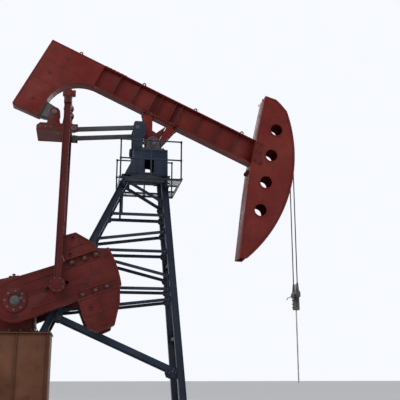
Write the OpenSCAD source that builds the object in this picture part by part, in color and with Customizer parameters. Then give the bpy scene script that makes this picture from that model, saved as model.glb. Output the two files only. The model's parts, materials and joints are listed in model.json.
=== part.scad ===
// Beam pumping unit with a bent, weighted tail, drawn in millimetres.
// X runs along the beam towards the horse head, Y runs across, Z is up.
// The origin lies on the ground, straight below the pivot of the beam.

/* [Walking beam] */
// Height of the beam's pivot above the ground
pivot_height = 7850; // [7600:10:8100]
// Slope of the beam as it stands, head down, in degrees
beam_slope = 24.3; // [22:0.1:26]
// Height of the beam section
beam_depth = 733; // [650:1:800]
// Width of the beam's flanges
beam_width = 400; // [340:2:440]
// Thickness of the beam's flanges
beam_flange = 30; // [20:1:40]
// Thickness of the beam's web
beam_web = 20; // [12:1:30]
// Distance from the pivot up to the underside of the beam
saddle_rise = 833; // [780:1:880]
// Length of the straight beam behind the pivot
beam_back = 2300; // [2200:10:2400]
// Thickness of the stiffeners and end plates of the beam
beam_rib = 16; // [10:1:25]
// Thickness of the saddle's side plates
saddle_plate = 40; // [25:1:60]
// Radius of the pivot shaft
pivot_r = 110; // [80:1:130]

/* [Weighted tail] */
// Distance from the pivot to the rear face of the tail
tail_back = 3960; // [3900:5:4050]
// How far the tail hangs below the line of the pivot
tail_drop = 780; // [720:5:850]
// Length of the foot of the tail
tail_foot = 780; // [720:5:850]
// Radius of the hollow between the tail and the beam
tail_hollow_r = 1030; // [900:5:1080]

/* [Horse head] */
// Radius of the horse head about the pivot
head_r = 4220; // [4200:1:4240]
// Depth of the channel that the ropes lie in
head_rim = 35; // [33:1:45]
// Clear width between the two side plates
head_inner = 600; // [520:5:640]
// Thickness of the side plates
head_side = 16; // [10:1:25]
// Thickness of the curved face, the back and the diaphragms
head_face = 20; // [12:1:30]
// Angle of the upper end of the curved face, in degrees
head_top_angle = 17.5; // [16:0.1:19]
// Angle of the lower end of the curved face, in degrees
head_low_angle = -49.8; // [-50.5:0.1:-48]
// Radius of the round windows in the side plates
head_window_r = 175; // [160:5:185]

/* [Ropes and rod] */
// Radius of each rope
rope_r = 16; // [12:0.5:17]
// Distance between the two ropes
rope_gap = 340; // [300:5:400]
// Height of the carrier bar's top above the ground
carrier_top = 3870; // [3800:5:3950]
// Height of the carrier bar
carrier_h = 290; // [240:5:320]
// Width of the carrier bar
carrier_w = 120; // [110:2:150]
// Height of the clamp below the carrier bar
clamp_h = 350; // [300:5:400]
// Width of the clamp below the carrier bar
clamp_w = 160; // [140:2:180]
// Radius of the polished rod
rod_r = 19; // [14:0.5:22]
// Height of the polished rod's lower end above the ground
rod_end = 1240; // [1220:5:1400]

/* [Tower] */
// Distance from the pivot down to the underside of the post head
head_drop = 1000; // [950:5:1100]
// Height of the post head
post_head_h = 750; // [700:5:790]
// Half width between the legs under the post head
leg_top_y = 440; // [420:2:450]
// Outward lean of the legs, in degrees
leg_splay = 2.9; // [2.6:0.05:3.1]
// Height of the leg section, seen from the side
leg_w = 180; // [150:2:200]
// Width of the leg section, across
leg_t = 160; // [120:2:170]
// Thickness of the leg's flanges and web
leg_plate = 16; // [10:1:20]
// Width of the brace angles
brace_w = 85; // [70:1:100]
// Depth of the brace angles
brace_d = 60; // [50:1:70]
// Thickness of the brace angles
brace_t = 10; // [8:1:14]
// Width of the low struts
strut_w = 140; // [120:2:160]

/* [Pedestal and base] */
// Height of the base frame
base_h = 400; // [350:5:420]
// Half distance between the two base rails
rail_y = 770; // [750:5:790]
// Width of the base rails' flanges
rail_w = 210; // [190:2:220]
// Radius of the anchor bolt holes
anchor_r = 18; // [14:1:22]
// Height of the pedestal's top above the ground
pedestal_top = 2500; // [2460:5:2520]
// Half width of the pedestal
pedestal_y = 770; // [760:2:775]
// Wall of the pedestal
pedestal_wall = 20; // [12:1:30]

/* [Gearbox and cranks] */
// Height of the crank shaft above the ground
crank_height = 3250; // [3240:1:3280]
// Distance from the beam's pivot back to the crank shaft
crank_back = 3460; // [3450:1:3480]
// Radius of the crank shaft
crank_shaft_r = 140; // [110:1:160]
// Angle of the cranks as they stand, in degrees
crank_angle = 20.8; // [19:0.1:22]
// Distance from the crank shaft to the crank pin
crank_pin_arm = 1091; // [1070:1:1110]
// Reach of the cranks from the crank shaft
crank_reach = 2680; // [2600:5:2700]
// Thickness of the cranks
crank_t = 240; // [180:5:250]
// Distance from the middle to the inner face of the cranks
crank_y = 860; // [850:1:870]
// Thickness of the counterweights
weight_t = 400; // [300:5:400]
// Half width of the gearbox
gearbox_y = 460; // [420:5:480]

/* [Links] */
// Thickness of the pitmans
pitman_t = 140; // [110:5:150]
// Width of the pitmans, seen from the side
pitman_w = 180; // [150:2:200]
// Distance from the middle to the inner face of the pitmans
pitman_y = 1300; // [1290:1:1320]
// Radius of the pins at the pitmans
pitman_pin_r = 70; // [50:1:80]
// Radius of the equalizer beam
equalizer_r = 100; // [90:1:110]
// Height of the push rods
push_rod_h = 120; // [100:2:140]
// Thickness of the push rods
push_rod_t = 90; // [80:2:100]
// Half distance between the push rods
push_rod_y = 376; // [370:1:380]
// Radius of the push rods' pins
push_pin_r = 40; // [30:1:50]
// Radius of the pin in the tail bearing
tail_pin_r = 60; // [50:1:70]

/* [Motor and belt] */
// Height of the motor stand above the ground
stand_top = 2200; // [2150:5:2250]
// Radius of the motor's frame
motor_r = 260; // [220:5:280]
// Radius of the large sheave
big_sheave_r = 450; // [400:5:460]
// Radius of the motor sheave
small_sheave_r = 130; // [110:5:140]
// Width of the sheaves
sheave_w = 150; // [120:5:160]

/* [Platform] */
// Distance from the underside of the post head down to the work platform
deck_drop = 210; // [170:5:250]
// Half width of the work platform
deck_y = 1000; // [950:5:1050]
// Height of the guard rail above the platform
rail_height = 1070; // [1000:5:1100]
// Radius of the guard rail tubes
rail_r = 21; // [17:1:24]

/* [Hidden] */
$fn = 64;

// Paint colours
red_paint = [0.36, 0.09, 0.08];
navy_paint = [0.13, 0.20, 0.28];
brown_paint = [0.42, 0.20, 0.11];
dark_steel = [0.20, 0.20, 0.21];
bare_steel = [0.55, 0.55, 0.56];
black_rubber = [0.08, 0.08, 0.08];

// Running clearance of every pin in its bore, and of pieces that pass each other
pin_clear = 0.1;
pass_gap = 6;
seat_gap = 0.3;

head_seat = pivot_height - head_drop;
deck_z = head_seat - deck_drop;

// Crank shaft, tail pin, equalizer, rod pin and bracket pin, as X and Z
crank_p = [-crank_back, crank_height];
tail_pin_p = [-2800, pivot_height + 820];
equalizer_p = [-2400, pivot_height + 900];
rod_pin_p = [-2230, pivot_height + 260];
bracket_pin_p = [-450, pivot_height + 420];
crank_pin_p = crank_p + crank_pin_arm * [cos(crank_angle), sin(crank_angle)];

// Legs: distance forward of the pivot at the post head, and run per metre of fall
front_leg_x = 310;
front_leg_run = 0.09;
rear_leg_x = -685;
rear_leg_run = -0.475;
function front_x(z) = front_leg_x + front_leg_run * (head_seat - z);
function rear_x(z) = rear_leg_x + rear_leg_run * (head_seat - z);

// Height at a share of the way up the tower, from the pedestal's top to the post head
function up_tower(share) = pedestal_top + share * (head_seat - pedestal_top);

// Extrudes a side view, drawn in X and Z, to a thickness about a middle at y
module side_plate(y, thick) {
    translate([0, y + thick / 2, 0])
        rotate([90, 0, 0])
            linear_extrude(thick) children();
}

// Round bar across the machine, from y0 to y1, through a point given as X and Z
module cross_bar(p, r, y0, y1) {
    translate([p[0], y0, p[1]])
        rotate([-90, 0, 0])
            cylinder(r = r, h = y1 - y0);
}

// Frame of the walking beam: origin at the pivot, X along the beam
module on_beam() {
    translate([0, 0, pivot_height])
        rotate([0, beam_slope, 0]) children();
}

// Frame of one side of the tower: origin at the top of the legs, leaning outwards
module on_side(side) {
    translate([0, side * leg_top_y, head_seat])
        rotate([side * leg_splay, 0, 0]) children();
}

// Extrudes a section, drawn about the origin, from point p to point q
module member(p, q) {
    d = q - p;
    len = norm(d);
    translate(p)
        rotate([-asin(d[1] / len), atan2(d[0], d[2]), 0])
            linear_extrude(len) children();
}

// Section with two flanges and a web, w long and t wide
module h_section(w, t, plate) {
    for (end = [-1, 1])
        translate([end * (w - plate) / 2, 0]) square([plate, t], center = true);
    square([w - plate, plate], center = true);
}

// Angle section with its flat back on y = 0
module angle_section(w, d, t) {
    translate([-w / 2, 0]) square([w, t]);
    translate([-w / 2, 0]) square([t, d]);
}

// Tube between two points
module tube(p, q, r) {
    member(p, q) circle(r = r, $fn = 16);
}

// Keeps only what lies between two heights
module between_heights(z0, z1) {
    intersection() {
        children();
        translate([-9000, -3000, z0]) cube([18000, 6000, z1 - z0]);
    }
}

// Base frame
module base_rail(side) {
    translate([base_x0, side * rail_y, 0])
        rotate([90, 0, 90])
            linear_extrude(base_x1 - base_x0)
                translate([0, base_h / 2])
                    rotate(90) h_section(base_h, rail_w, 20);
}
base_x0 = -7000;
base_x1 = 1300;
anchor_x = [-6700, 1150];
anchor_y = rail_y + 60;
cross_member_x = [-6850, -5600, -4700, -2700, -1200, 0, 880];
cross_member_w = 200;

module base_skid() {
    color(brown_paint)
    difference() {
        union() {
            for (side = [-1, 1]) base_rail(side);
            for (x = cross_member_x)
                translate([x - cross_member_w / 2, -rail_y, 0])
                    cube([cross_member_w, 2 * rail_y, base_h]);
        }
        for (x = anchor_x, side = [-1, 1])
            translate([x, side * anchor_y, -1]) cylinder(r = anchor_r, h = 40);
    }
}

// Pedestal of the gearbox, with the stand of the motor behind it
pedestal_x0 = -4950;
pedestal_x1 = -2560;
stand_x0 = -6700;
stand_x1 = -5550;
stand_y = 560;

module box_shell(x0, x1, half_y, z0, z1, wall) {
    difference() {
        translate([x0, -half_y, z0]) cube([x1 - x0, 2 * half_y, z1 - z0]);
        translate([x0 + wall, -half_y + wall, z0 - wall])
            cube([x1 - x0 - 2 * wall, 2 * (half_y - wall), z1 - z0]);
    }
}

module gearbox_pedestal() {
    color(brown_paint) {
        box_shell(pedestal_x0, pedestal_x1, pedestal_y, base_h, pedestal_top, pedestal_wall);
        box_shell(stand_x0, stand_x1, stand_y, base_h, stand_top, pedestal_wall);
    }
}

// Legs of the tower
foot_plate = 25;

module front_leg(side) {
    foot_x = front_x(base_h);
    foot_y = leg_top_y + (head_seat - base_h) * tan(leg_splay);
    color(navy_paint) {
        between_heights(base_h, head_seat)
            on_side(side)
                member([front_x(head_seat + 300), 0, 300], [front_x(0), 0, -head_seat])
                    h_section(leg_w, leg_t, leg_plate);
        translate([foot_x - 200, side * foot_y - 130, base_h]) cube([400, 260, foot_plate]);
    }
}

module rear_leg(side) {
    foot_x = rear_x(pedestal_top);
    foot_y = leg_top_y + (head_seat - pedestal_top) * tan(leg_splay);
    color(navy_paint) {
        between_heights(pedestal_top, head_seat)
            on_side(side)
                member([rear_x(head_seat + 300), 0, 300], [rear_x(0), 0, -head_seat])
                    h_section(leg_w, leg_t, leg_plate);
        translate([foot_x - 170, side * (foot_y - 15) - 105, pedestal_top])
            cube([340, 210, foot_plate]);
    }
}

module front_leg_near() { front_leg(-1); }
module front_leg_far() { front_leg(1); }
module rear_leg_near() { rear_leg(-1); }
module rear_leg_far() { rear_leg(1); }

// Braces on the inner face of each side: share of the way up at the rear leg, and at the front leg
side_brace_shares = [[0.974, 0.817], [0.745, 0.745], [0.575, 0.641], [0.510, 0.510], [0.483, 0.349],
    [0.274, 0.274], [0.126, 0.214]];
strut_rear_z = up_tower(0.106);
strut_front_z = 0.596 * pedestal_top;
brace_lap = 30;
gusset_set = 60;
gusset_r = 105;
strut_gusset_r = 150;
gusset_t = 14;
deck_strut_x = -830;
deck_strut_w = 55;

module side_bar(side, x0, z0, x1, z1, w) {
    face = -side * leg_t / 2;
    member([x0, face, z0 - head_seat], [x1, face, z1 - head_seat])
        mirror([0, side > 0 ? 1 : 0]) angle_section(w, brace_d, brace_t);
}

module gusset(side, x, z, r) {
    face = -side * (leg_t + gusset_t) / 2;
    translate([0, 0, -head_seat])
        side_plate(face, gusset_t)
            translate([x, z]) circle(r = r, $fn = 8);
}

module side_braces(side) {
    color(navy_paint)
        on_side(side) {
            for (share = side_brace_shares) {
                z0 = up_tower(share[0]);
                z1 = up_tower(share[1]);
                side_bar(side, rear_x(z0) - brace_lap, z0, front_x(z1) + brace_lap, z1, brace_w);
                gusset(side, rear_x(z0) + gusset_set, z0, gusset_r);
                gusset(side, front_x(z1) - gusset_set, z1, gusset_r);
            }
            side_bar(side, deck_strut_x, up_tower(side_brace_shares[1][0]), deck_strut_x, deck_z - 150,
                deck_strut_w);
            side_bar(side, rear_x(strut_rear_z), strut_rear_z, front_x(strut_front_z), strut_front_z, strut_w);
            gusset(side, rear_x(strut_rear_z) + gusset_r, strut_rear_z, strut_gusset_r);
            gusset(side, front_x(strut_front_z) - gusset_r, strut_front_z, strut_gusset_r);
        }
}

module side_braces_near() { side_braces(-1); }
module side_braces_far() { side_braces(1); }

// Bars between the near and the far legs, cut to the legs' inner faces
front_cross_heights = [for (share = [0.047, 0.31, 0.62, 0.792]) base_h + share * (head_seat - base_h)];
rear_cross_heights = [for (share = [0.198, 0.379, 0.66, 0.839]) up_tower(share)];
cross_bar_w = 60;
cross_bar_h = 90;
diagonal_w = 50;

module cut_to_legs() {
    difference() {
        children();
        for (side = [-1, 1])
            on_side(side)
                translate([-6000, side > 0 ? -leg_plate / 2 : leg_plate / 2 - 2000, -8000])
                    cube([9000, 2000, 9000]);
    }
}

module level_bar(x, z) {
    translate([x - cross_bar_w / 2, -1000, z - cross_bar_h / 2]) cube([cross_bar_w, 2000, cross_bar_h]);
}

// Diagonal from the near leg at one height to the far leg at another
module front_diagonal(z0, z1) {
    y0 = leg_top_y + (head_seat - z0) * tan(leg_splay);
    y1 = leg_top_y + (head_seat - z1) * tan(leg_splay);
    member([front_x(z0), -y0, z0], [front_x(z1), y1, z1])
        square([diagonal_w, diagonal_w], center = true);
}

module cross_braces() {
    color(navy_paint)
        cut_to_legs() {
            for (z = front_cross_heights) level_bar(front_x(z), z);
            for (z = rear_cross_heights) level_bar(rear_x(z), z);
            for (i = [1 : len(front_cross_heights) - 2]) {
                front_diagonal(front_cross_heights[i], front_cross_heights[i + 1]);
                front_diagonal(front_cross_heights[i + 1], front_cross_heights[i]);
            }
        }
}

// Post head: a welded box on top of the four legs
post_head_y = 540;
post_head_wall = 25;
post_top = head_seat + post_head_h;
post_window_x = -110;
post_window_w = 264;
post_window_h = 416;

module post_head_outline(wall) {
    polygon([[-790 + 1.5 * wall, head_seat + wall], [-750 + wall, head_seat + 90 + wall],
        [-560 + wall, post_top - 280], [-560 + wall, post_top - wall], [405 - wall, post_top - wall],
        [415 - wall, head_seat + wall]]);
}

module post_head() {
    color(navy_paint)
        difference() {
            side_plate(0, 2 * post_head_y) post_head_outline(0);
            side_plate(0, 2 * (post_head_y - post_head_wall)) post_head_outline(post_head_wall);
            side_plate(0, 2 * post_head_y + 10)
                translate([post_window_x, head_seat + 278])
                    offset(r = 45)
                        square([post_window_w - 90, post_window_h - 90], center = true);
        }
}

// Pillow blocks of the beam's pivot
bearing_y = 370;
bearing_w = 150;
bearing_foot = 330;

module pivot_bearings() {
    color(dark_steel)
        for (side = [-1, 1])
            difference() {
                union() {
                    cross_bar([0, pivot_height], pivot_r + 75,
                        side * bearing_y - bearing_w / 2, side * bearing_y + bearing_w / 2);
                    translate([-bearing_foot, side * bearing_y - bearing_w / 2, post_top])
                        cube([2 * bearing_foot, bearing_w, 70]);
                    translate([-185, side * bearing_y - bearing_w / 2, post_top])
                        cube([370, bearing_w, pivot_height - post_top]);
                }
                cross_bar([0, pivot_height], pivot_r + pin_clear, -900, 900);
            }
}

// Bracket on the post head that holds the front ends of the push rods
bracket_plate = 24;
bracket_x0 = bracket_pin_p[0] - 105;
bracket_x1 = bracket_pin_p[0] + 150;
bearing_foot_x = -bearing_foot - 15;

module push_rod_bracket() {
    inner = push_rod_y - push_rod_t / 2 - pass_gap - bracket_plate / 2;
    outer = push_rod_y + push_rod_t / 2 + pass_gap + bracket_plate / 2;
    color(navy_paint)
        for (side = [-1, 1]) {
            for (y = [inner, outer])
                side_plate(side * y, bracket_plate)
                    polygon([[bracket_x0, post_top], bracket_pin_p + [-110, 130],
                        bracket_pin_p + [-70, 190], bracket_pin_p + [170, 190],
                        bracket_pin_p + [235, 90], bracket_pin_p + [235, -210],
                        [bracket_x1, bracket_pin_p[1] - 290], [bracket_x1, post_top + 100],
                        [bearing_foot_x, post_top + 80], [bearing_foot_x, post_top]]);
            translate([bracket_x1 - bracket_plate, side > 0 ? inner : -outer, post_top + 110])
                cube([bracket_plate, outer - inner, bracket_pin_p[1] - post_top]);
            cross_bar(bracket_pin_p, push_pin_r,
                side > 0 ? inner : -outer, side > 0 ? outer : -inner);
        }
}

// Work platform round the post head
deck_x0 = -960;
deck_x1 = 760;
deck_t = 45;
deck_hole_x0 = rear_x(deck_z - deck_t) - leg_w * 0.6;
deck_hole_x1 = 460;
deck_hole_y = 575;
hatch_half = 300;

module work_platform() {
    color(dark_steel)
        difference() {
            translate([deck_x0, -deck_y, deck_z - deck_t])
                cube([deck_x1 - deck_x0, 2 * deck_y, deck_t]);
            translate([deck_hole_x0, -deck_hole_y, deck_z - deck_t - 5])
                cube([deck_hole_x1 - deck_hole_x0, 2 * deck_hole_y, deck_t + 10]);
            translate([deck_hole_x1 - 5, -hatch_half, deck_z - deck_t - 5])
                cube([deck_x1 - deck_hole_x1 - 50, 2 * hatch_half, deck_t + 10]);
        }
    color(navy_paint)
        for (side = [-1, 1])
            for (x = [rear_x(deck_z - 95), front_x(deck_z - 95)])
                deck_arm(side, x);
}

// Arm that carries the platform, from the web of a leg to the edge of the deck
deck_arm_h = 100;

module deck_arm(side, x) {
    difference() {
        translate([x - 30, side > 0 ? 0 : 20 - deck_y, deck_z - deck_t - deck_arm_h])
            cube([60, deck_y - 20, deck_arm_h]);
        on_side(side)
            translate([-3000, side > 0 ? leg_plate / 2 - 2000 : -leg_plate / 2, -3000])
                cube([6000, 2000, 6000]);
    }
}

// Guard rails of the platform
post_r = rail_r;
rail_x0 = deck_x0 + 30;
rail_x1 = deck_x1 - 30;
rail_side_y = deck_y - 30;

module guard_rails() {
    top = deck_z + rail_height;
    middle = deck_z + rail_height / 2;
    color(navy_paint) {
        for (side = [-1, 1]) {
            for (x = [rail_x0, (rail_x0 + rail_x1) / 2, rail_x1])
                translate([x, side * rail_side_y, deck_z]) cylinder(r = post_r, h = rail_height);
            for (z = [middle, top])
                tube([rail_x0, side * rail_side_y, z], [rail_x1, side * rail_side_y, z], rail_r);
        }
    }
}

// Ladder between the front legs, seated on the bars there and tied to the platform at its hatch
ladder_half = 220;
ladder_bar_w = 60;
ladder_bar_t = 14;
ladder_set = (cross_bar_w + ladder_bar_w) / 2 + 4.2;
rung_step = 300;
rung_r = 12;

module ladder() {
    top = deck_z;
    color(navy_paint) {
        for (side = [-1, 1])
            between_heights(base_h, top)
                member([front_x(0) + ladder_set, side * ladder_half, 0],
                    [front_x(top + 100) + ladder_set, side * ladder_half, top + 100])
                    square([ladder_bar_w, ladder_bar_t], center = true);
        for (z = [base_h + rung_step : rung_step : deck_z])
            cross_bar([front_x(z) + ladder_set, z], rung_r, -ladder_half, ladder_half, $fn = 12);
        translate([front_x(deck_z) + ladder_set, -hatch_half - 40, deck_z - deck_t - 20])
            cube([90, 2 * hatch_half + 80, 20]);
    }
}

// Gearbox
input_p = [-4450, crank_height + 150];
gearbox_x0 = -4800;
gearbox_x1 = -2950;
gearbox_top = 3970;
input_shaft_r = 50;
flange_t = 30;

module gearbox_case() {
    color(red_paint)
        difference() {
            union() {
                translate([gearbox_x0 + 40, -gearbox_y, pedestal_top])
                    cube([gearbox_x1 - gearbox_x0 - 80, 2 * gearbox_y, crank_height - pedestal_top]);
                translate([gearbox_x0, -gearbox_y - 60, crank_height - flange_t])
                    cube([gearbox_x1 - gearbox_x0, 2 * gearbox_y + 120, flange_t]);
                translate([gearbox_x0, -gearbox_y - 100, pedestal_top])
                    cube([gearbox_x1 - gearbox_x0, 2 * gearbox_y + 200, 45]);
            }
            cross_bar(crank_p, crank_shaft_r + pin_clear, -900, 900);
        }
}

module gearbox_cover() {
    color(red_paint)
        difference() {
            union() {
                intersection() {
                    side_plate(0, 2 * gearbox_y)
                        union() {
                            translate(crank_p) circle(r = gearbox_top - crank_height - 10);
                            translate(input_p) circle(r = 320);
                            polygon([crank_p, [crank_p[0], gearbox_top], input_p + [-90, 307], input_p]);
                        }
                    translate([gearbox_x0, -900, crank_height])
                        cube([gearbox_x1 - gearbox_x0, 1800, 900]);
                }
                translate([gearbox_x0, -gearbox_y - 60, crank_height])
                    cube([gearbox_x1 - gearbox_x0, 2 * gearbox_y + 120, flange_t]);
                cross_bar(crank_p, crank_shaft_r + 130, -gearbox_y - 60, gearbox_y + 60);
            }
            cross_bar(crank_p, crank_shaft_r + pin_clear, -900, 900);
            cross_bar(input_p, input_shaft_r + pin_clear, -900, 900);
            translate([gearbox_x0 - 10, -900, crank_height - 900]) cube([2500, 1800, 900]);
        }
}

// Motor, sheaves, belt and guard
motor_p = [-6130, stand_top + motor_r + 60];
sheave_y = 620;

module motor() {
    color(dark_steel) {
        difference() {
            union() {
                cross_bar(motor_p, motor_r, -360, 400);
                cross_bar(motor_p, motor_r - 40, -420, 440);
                translate([motor_p[0] - 270, -300, stand_top]) cube([540, 640, 110]);
                translate([motor_p[0] - 120, -120, motor_p[1]]) cube([240, 260, motor_r + 90]);
            }
            cross_bar(motor_p, 30 + pin_clear, -100, 500);
        }
    }
}

module motor_sheave() {
    color(dark_steel) {
        cross_bar(motor_p, 30, -90, sheave_y);
        cross_bar(motor_p, small_sheave_r, sheave_y - sheave_w / 2, sheave_y + sheave_w / 2);
    }
}

module input_sheave() {
    color(dark_steel) {
        cross_bar(input_p, input_shaft_r, -680, sheave_y);
        cross_bar(input_p, big_sheave_r, sheave_y - sheave_w / 2, sheave_y + sheave_w / 2);
        cross_bar(input_p, 200, -680, -570);
    }
}

module belt_outline(extra) {
    hull() {
        translate(input_p) circle(r = big_sheave_r + extra, $fn = 48);
        translate(motor_p) circle(r = small_sheave_r + extra, $fn = 32);
    }
}

module drive_belt() {
    color(black_rubber)
        side_plate(sheave_y, sheave_w - 30)
            difference() {
                belt_outline(14);
                belt_outline(1.5);
            }
}

guard_gap = 70;
guard_wall = 8;
guard_y0 = gearbox_y + 60 + pass_gap;
guard_y1 = sheave_y + sheave_w / 2 + 44;
guard_foot_w = 60;
guard_foot_h = crank_height - pedestal_top;
guard_feet = [[pedestal_x0 + 20, pedestal_top], [stand_x1 - 100, stand_top]];

module belt_guard() {
    color(navy_paint) {
        side_plate(guard_y1 - guard_wall / 2, guard_wall) belt_outline(guard_gap);
        side_plate((guard_y0 + guard_y1) / 2, guard_y1 - guard_y0)
            difference() {
                union() {
                    belt_outline(guard_gap);
                    for (foot = guard_feet)
                        translate([foot[0], foot[1]]) square([guard_foot_w, guard_foot_h]);
                }
                belt_outline(guard_gap - guard_wall);
            }
    }
}

// Walking beam, cut at its front end to the back of the horse head
function on_arc(r, a) = [r * cos(a), pivot_height + r * sin(a)];
head_back_top = on_arc(head_r - 436, 27.04);
head_back_mid = on_arc(head_r - 1307, -11.89);
head_back_low = on_arc(head_r - 1157, -26.78);
head_back_foot = on_arc(head_r - 140, -52.22);
head_toe = on_arc(head_r, -49.97);

module behind_head() {
    side_plate(0, 3000)
        polygon([head_back_top, head_back_mid, head_back_low, [-9000, head_back_low[1]],
            [-9000, head_back_top[1] + 3000], [head_back_top[0] + 672, head_back_top[1] + 3000]]);
}

module beam_block(x0, x1, half_y, z0, z1) {
    translate([x0, -half_y, saddle_rise + z0]) cube([x1 - x0, 2 * half_y, z1 - z0]);
}

beam_rib_x = [-1700, -1100, -560, 300, 900, 1500, 2100];

module walking_beam() {
    color(red_paint)
        intersection() {
            on_beam() {
                beam_block(-beam_back, head_r - 820, beam_width / 2, 0, beam_flange);
                beam_block(-beam_back, head_r - 820, beam_width / 2, beam_depth - beam_flange, beam_depth);
                beam_block(-beam_back, head_r - 820, beam_web / 2, 0, beam_depth);
                for (x = beam_rib_x)
                    beam_block(x, x + beam_rib, beam_width / 2 - 15, 0, beam_depth);
                beam_block(-beam_back, -beam_back + 2 * beam_rib, beam_width / 2, 0, beam_depth);
            }
            behind_head();
        }
}

// Tail of the beam: a closed box bent down behind the beam and filled with weight
module tail_outline() {
    under = saddle_rise;
    front = -tail_back + tail_foot;
    difference() {
        polygon([[-beam_back, under + beam_depth], [-tail_back, under + beam_depth],
            [-tail_back - 80, -tail_drop + 70], [front + 60, -tail_drop + 105],
            [-beam_back, under - tail_hollow_r], [-beam_back, under]]);
        translate([tail_face + tail_hollow_r, under - tail_hollow_r]) circle(r = tail_hollow_r, $fn = 96);
        translate([tail_face + tail_hollow_r, under - 2 * tail_hollow_r])
            square([tail_hollow_r, 2 * tail_hollow_r]);
        translate([tail_face, -tail_drop - 200])
            square([2 * tail_hollow_r, under - tail_hollow_r + tail_drop + 200]);
    }
}

module tail_counterweight() {
    color(red_paint)
        on_beam() side_plate(0, beam_width) tail_outline();
}

tail_bearing_r = 165;
tail_bearing_y = 165;
tail_face = -tail_back + tail_foot - 60;

module tail_bearing() {
    // Tail pin in the frame of the beam
    d = [tail_pin_p[0], tail_pin_p[1] - pivot_height];
    along = d[0] * cos(beam_slope) - d[1] * sin(beam_slope);
    above = d[0] * sin(beam_slope) + d[1] * cos(beam_slope);
    color(dark_steel)
        difference() {
            union() {
                cross_bar(tail_pin_p, tail_bearing_r, -tail_bearing_y, tail_bearing_y);
                on_beam() {
                    side_plate(0, 2 * tail_bearing_y - 40)
                        polygon([[tail_face, above + 200], [tail_face + 60, above + 200],
                            [along + 10, above + tail_bearing_r - 5], [along + 10, above - tail_bearing_r + 5],
                            [tail_face + 130, above - 240], [tail_face, above - 250]]);
                    translate([tail_face, -beam_width / 2 + 10, above - 260])
                        cube([30, beam_width - 20, 465]);
                }
            }
            cross_bar(tail_pin_p, tail_pin_r + pin_clear, -500, 500);
        }
}

// Saddle under the beam, with the pivot shaft
saddle_y = 150;

module saddle() {
    color(red_paint) {
        on_beam() {
            for (side = [-1, 1])
                side_plate(side * saddle_y, saddle_plate)
                    difference() {
                        polygon([[-700, saddle_rise], [-380, saddle_rise], [-120, 260], [120, 260],
                            [130, saddle_rise], [430, saddle_rise], [190, -60], [0, -190], [-190, -60]]);
                        polygon([[-370, saddle_rise + 1], [120, saddle_rise + 1], [60, 300], [-120, 300]]);
                    }
            translate([-700, -saddle_y, saddle_rise - 30]) cube([1130, 2 * saddle_y, 30]);
        }
        cross_bar([0, pivot_height], pivot_r + 60, -saddle_y, saddle_y);
    }
    color(bare_steel)
        cross_bar([0, pivot_height], pivot_r, -bearing_y - bearing_w / 2 - 20, bearing_y + bearing_w / 2 + 20);
}

// Horse head
head_steps = 48;

module head_arc(r) {
    polygon(concat([[0, pivot_height]],
        [for (i = [0 : head_steps])
            on_arc(r, head_low_angle + (head_top_angle - head_low_angle) * i / head_steps)]));
}

module head_outline() {
    polygon(concat([head_toe, head_back_foot, head_back_low, head_back_mid, head_back_top,
        on_arc(head_r - 181, 23.65), on_arc(head_r - 107, 21.39)],
        [for (i = [0 : head_steps])
            on_arc(head_r, head_top_angle + (head_low_angle - head_top_angle) * i / head_steps)]));
}

// Windows, each as its distance inside the curved face and its angle
window_p = [[482, 10.1], [711, -2.43], [757, -16.35], [593, -29.99]];

module head_plate(side) {
    color(red_paint)
        side_plate(side * (head_inner + head_side) / 2, head_side)
            difference() {
                head_outline();
                for (p = window_p)
                    translate(on_arc(head_r - p[0], p[1])) circle(r = head_window_r);
            }
}

module horse_head_near_plate() { head_plate(-1); }
module horse_head_far_plate() { head_plate(1); }

module horse_head_face() {
    color(red_paint)
        side_plate(0, head_inner)
            intersection() {
                difference() {
                    translate([0, pivot_height]) circle(r = head_r - head_rim, $fn = 180);
                    translate([0, pivot_height]) circle(r = head_r - head_rim - head_face, $fn = 180);
                }
                head_arc(head_r + 500);
            }
}

module back_outline() {
    polygon([head_back_top, head_back_mid, head_back_low, head_back_foot,
        [head_r, head_back_foot[1]], [head_r, head_back_top[1]]]);
}

module horse_head_back() {
    color(red_paint)
        side_plate(0, head_inner)
            difference() {
                back_outline();
                translate([head_face, 0]) back_outline();
            }
}

// Rope anchor at the top of the head, with the ropes where they lie on the face
rope_path_r = head_r - head_rim + rope_r + seat_gap;

module rope_anchor() {
    color(dark_steel) {
        for (side = [-1, 1])
            translate([0, side * rope_gap / 2, pivot_height])
                rotate([90, 0, 0])
                    rotate_extrude(angle = head_top_angle - 1, $fn = 720)
                        translate([rope_path_r, 0]) circle(r = rope_r);
    }
}

// Rocker between the tail, the push rods and the pitmans
rocker_y = 470;
rocker_bar_t = 60;
ear_t = 50;
ear_y = tail_bearing_y + pass_gap + ear_t / 2;
rocker_x0 = tail_pin_p[0] - 450;

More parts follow.
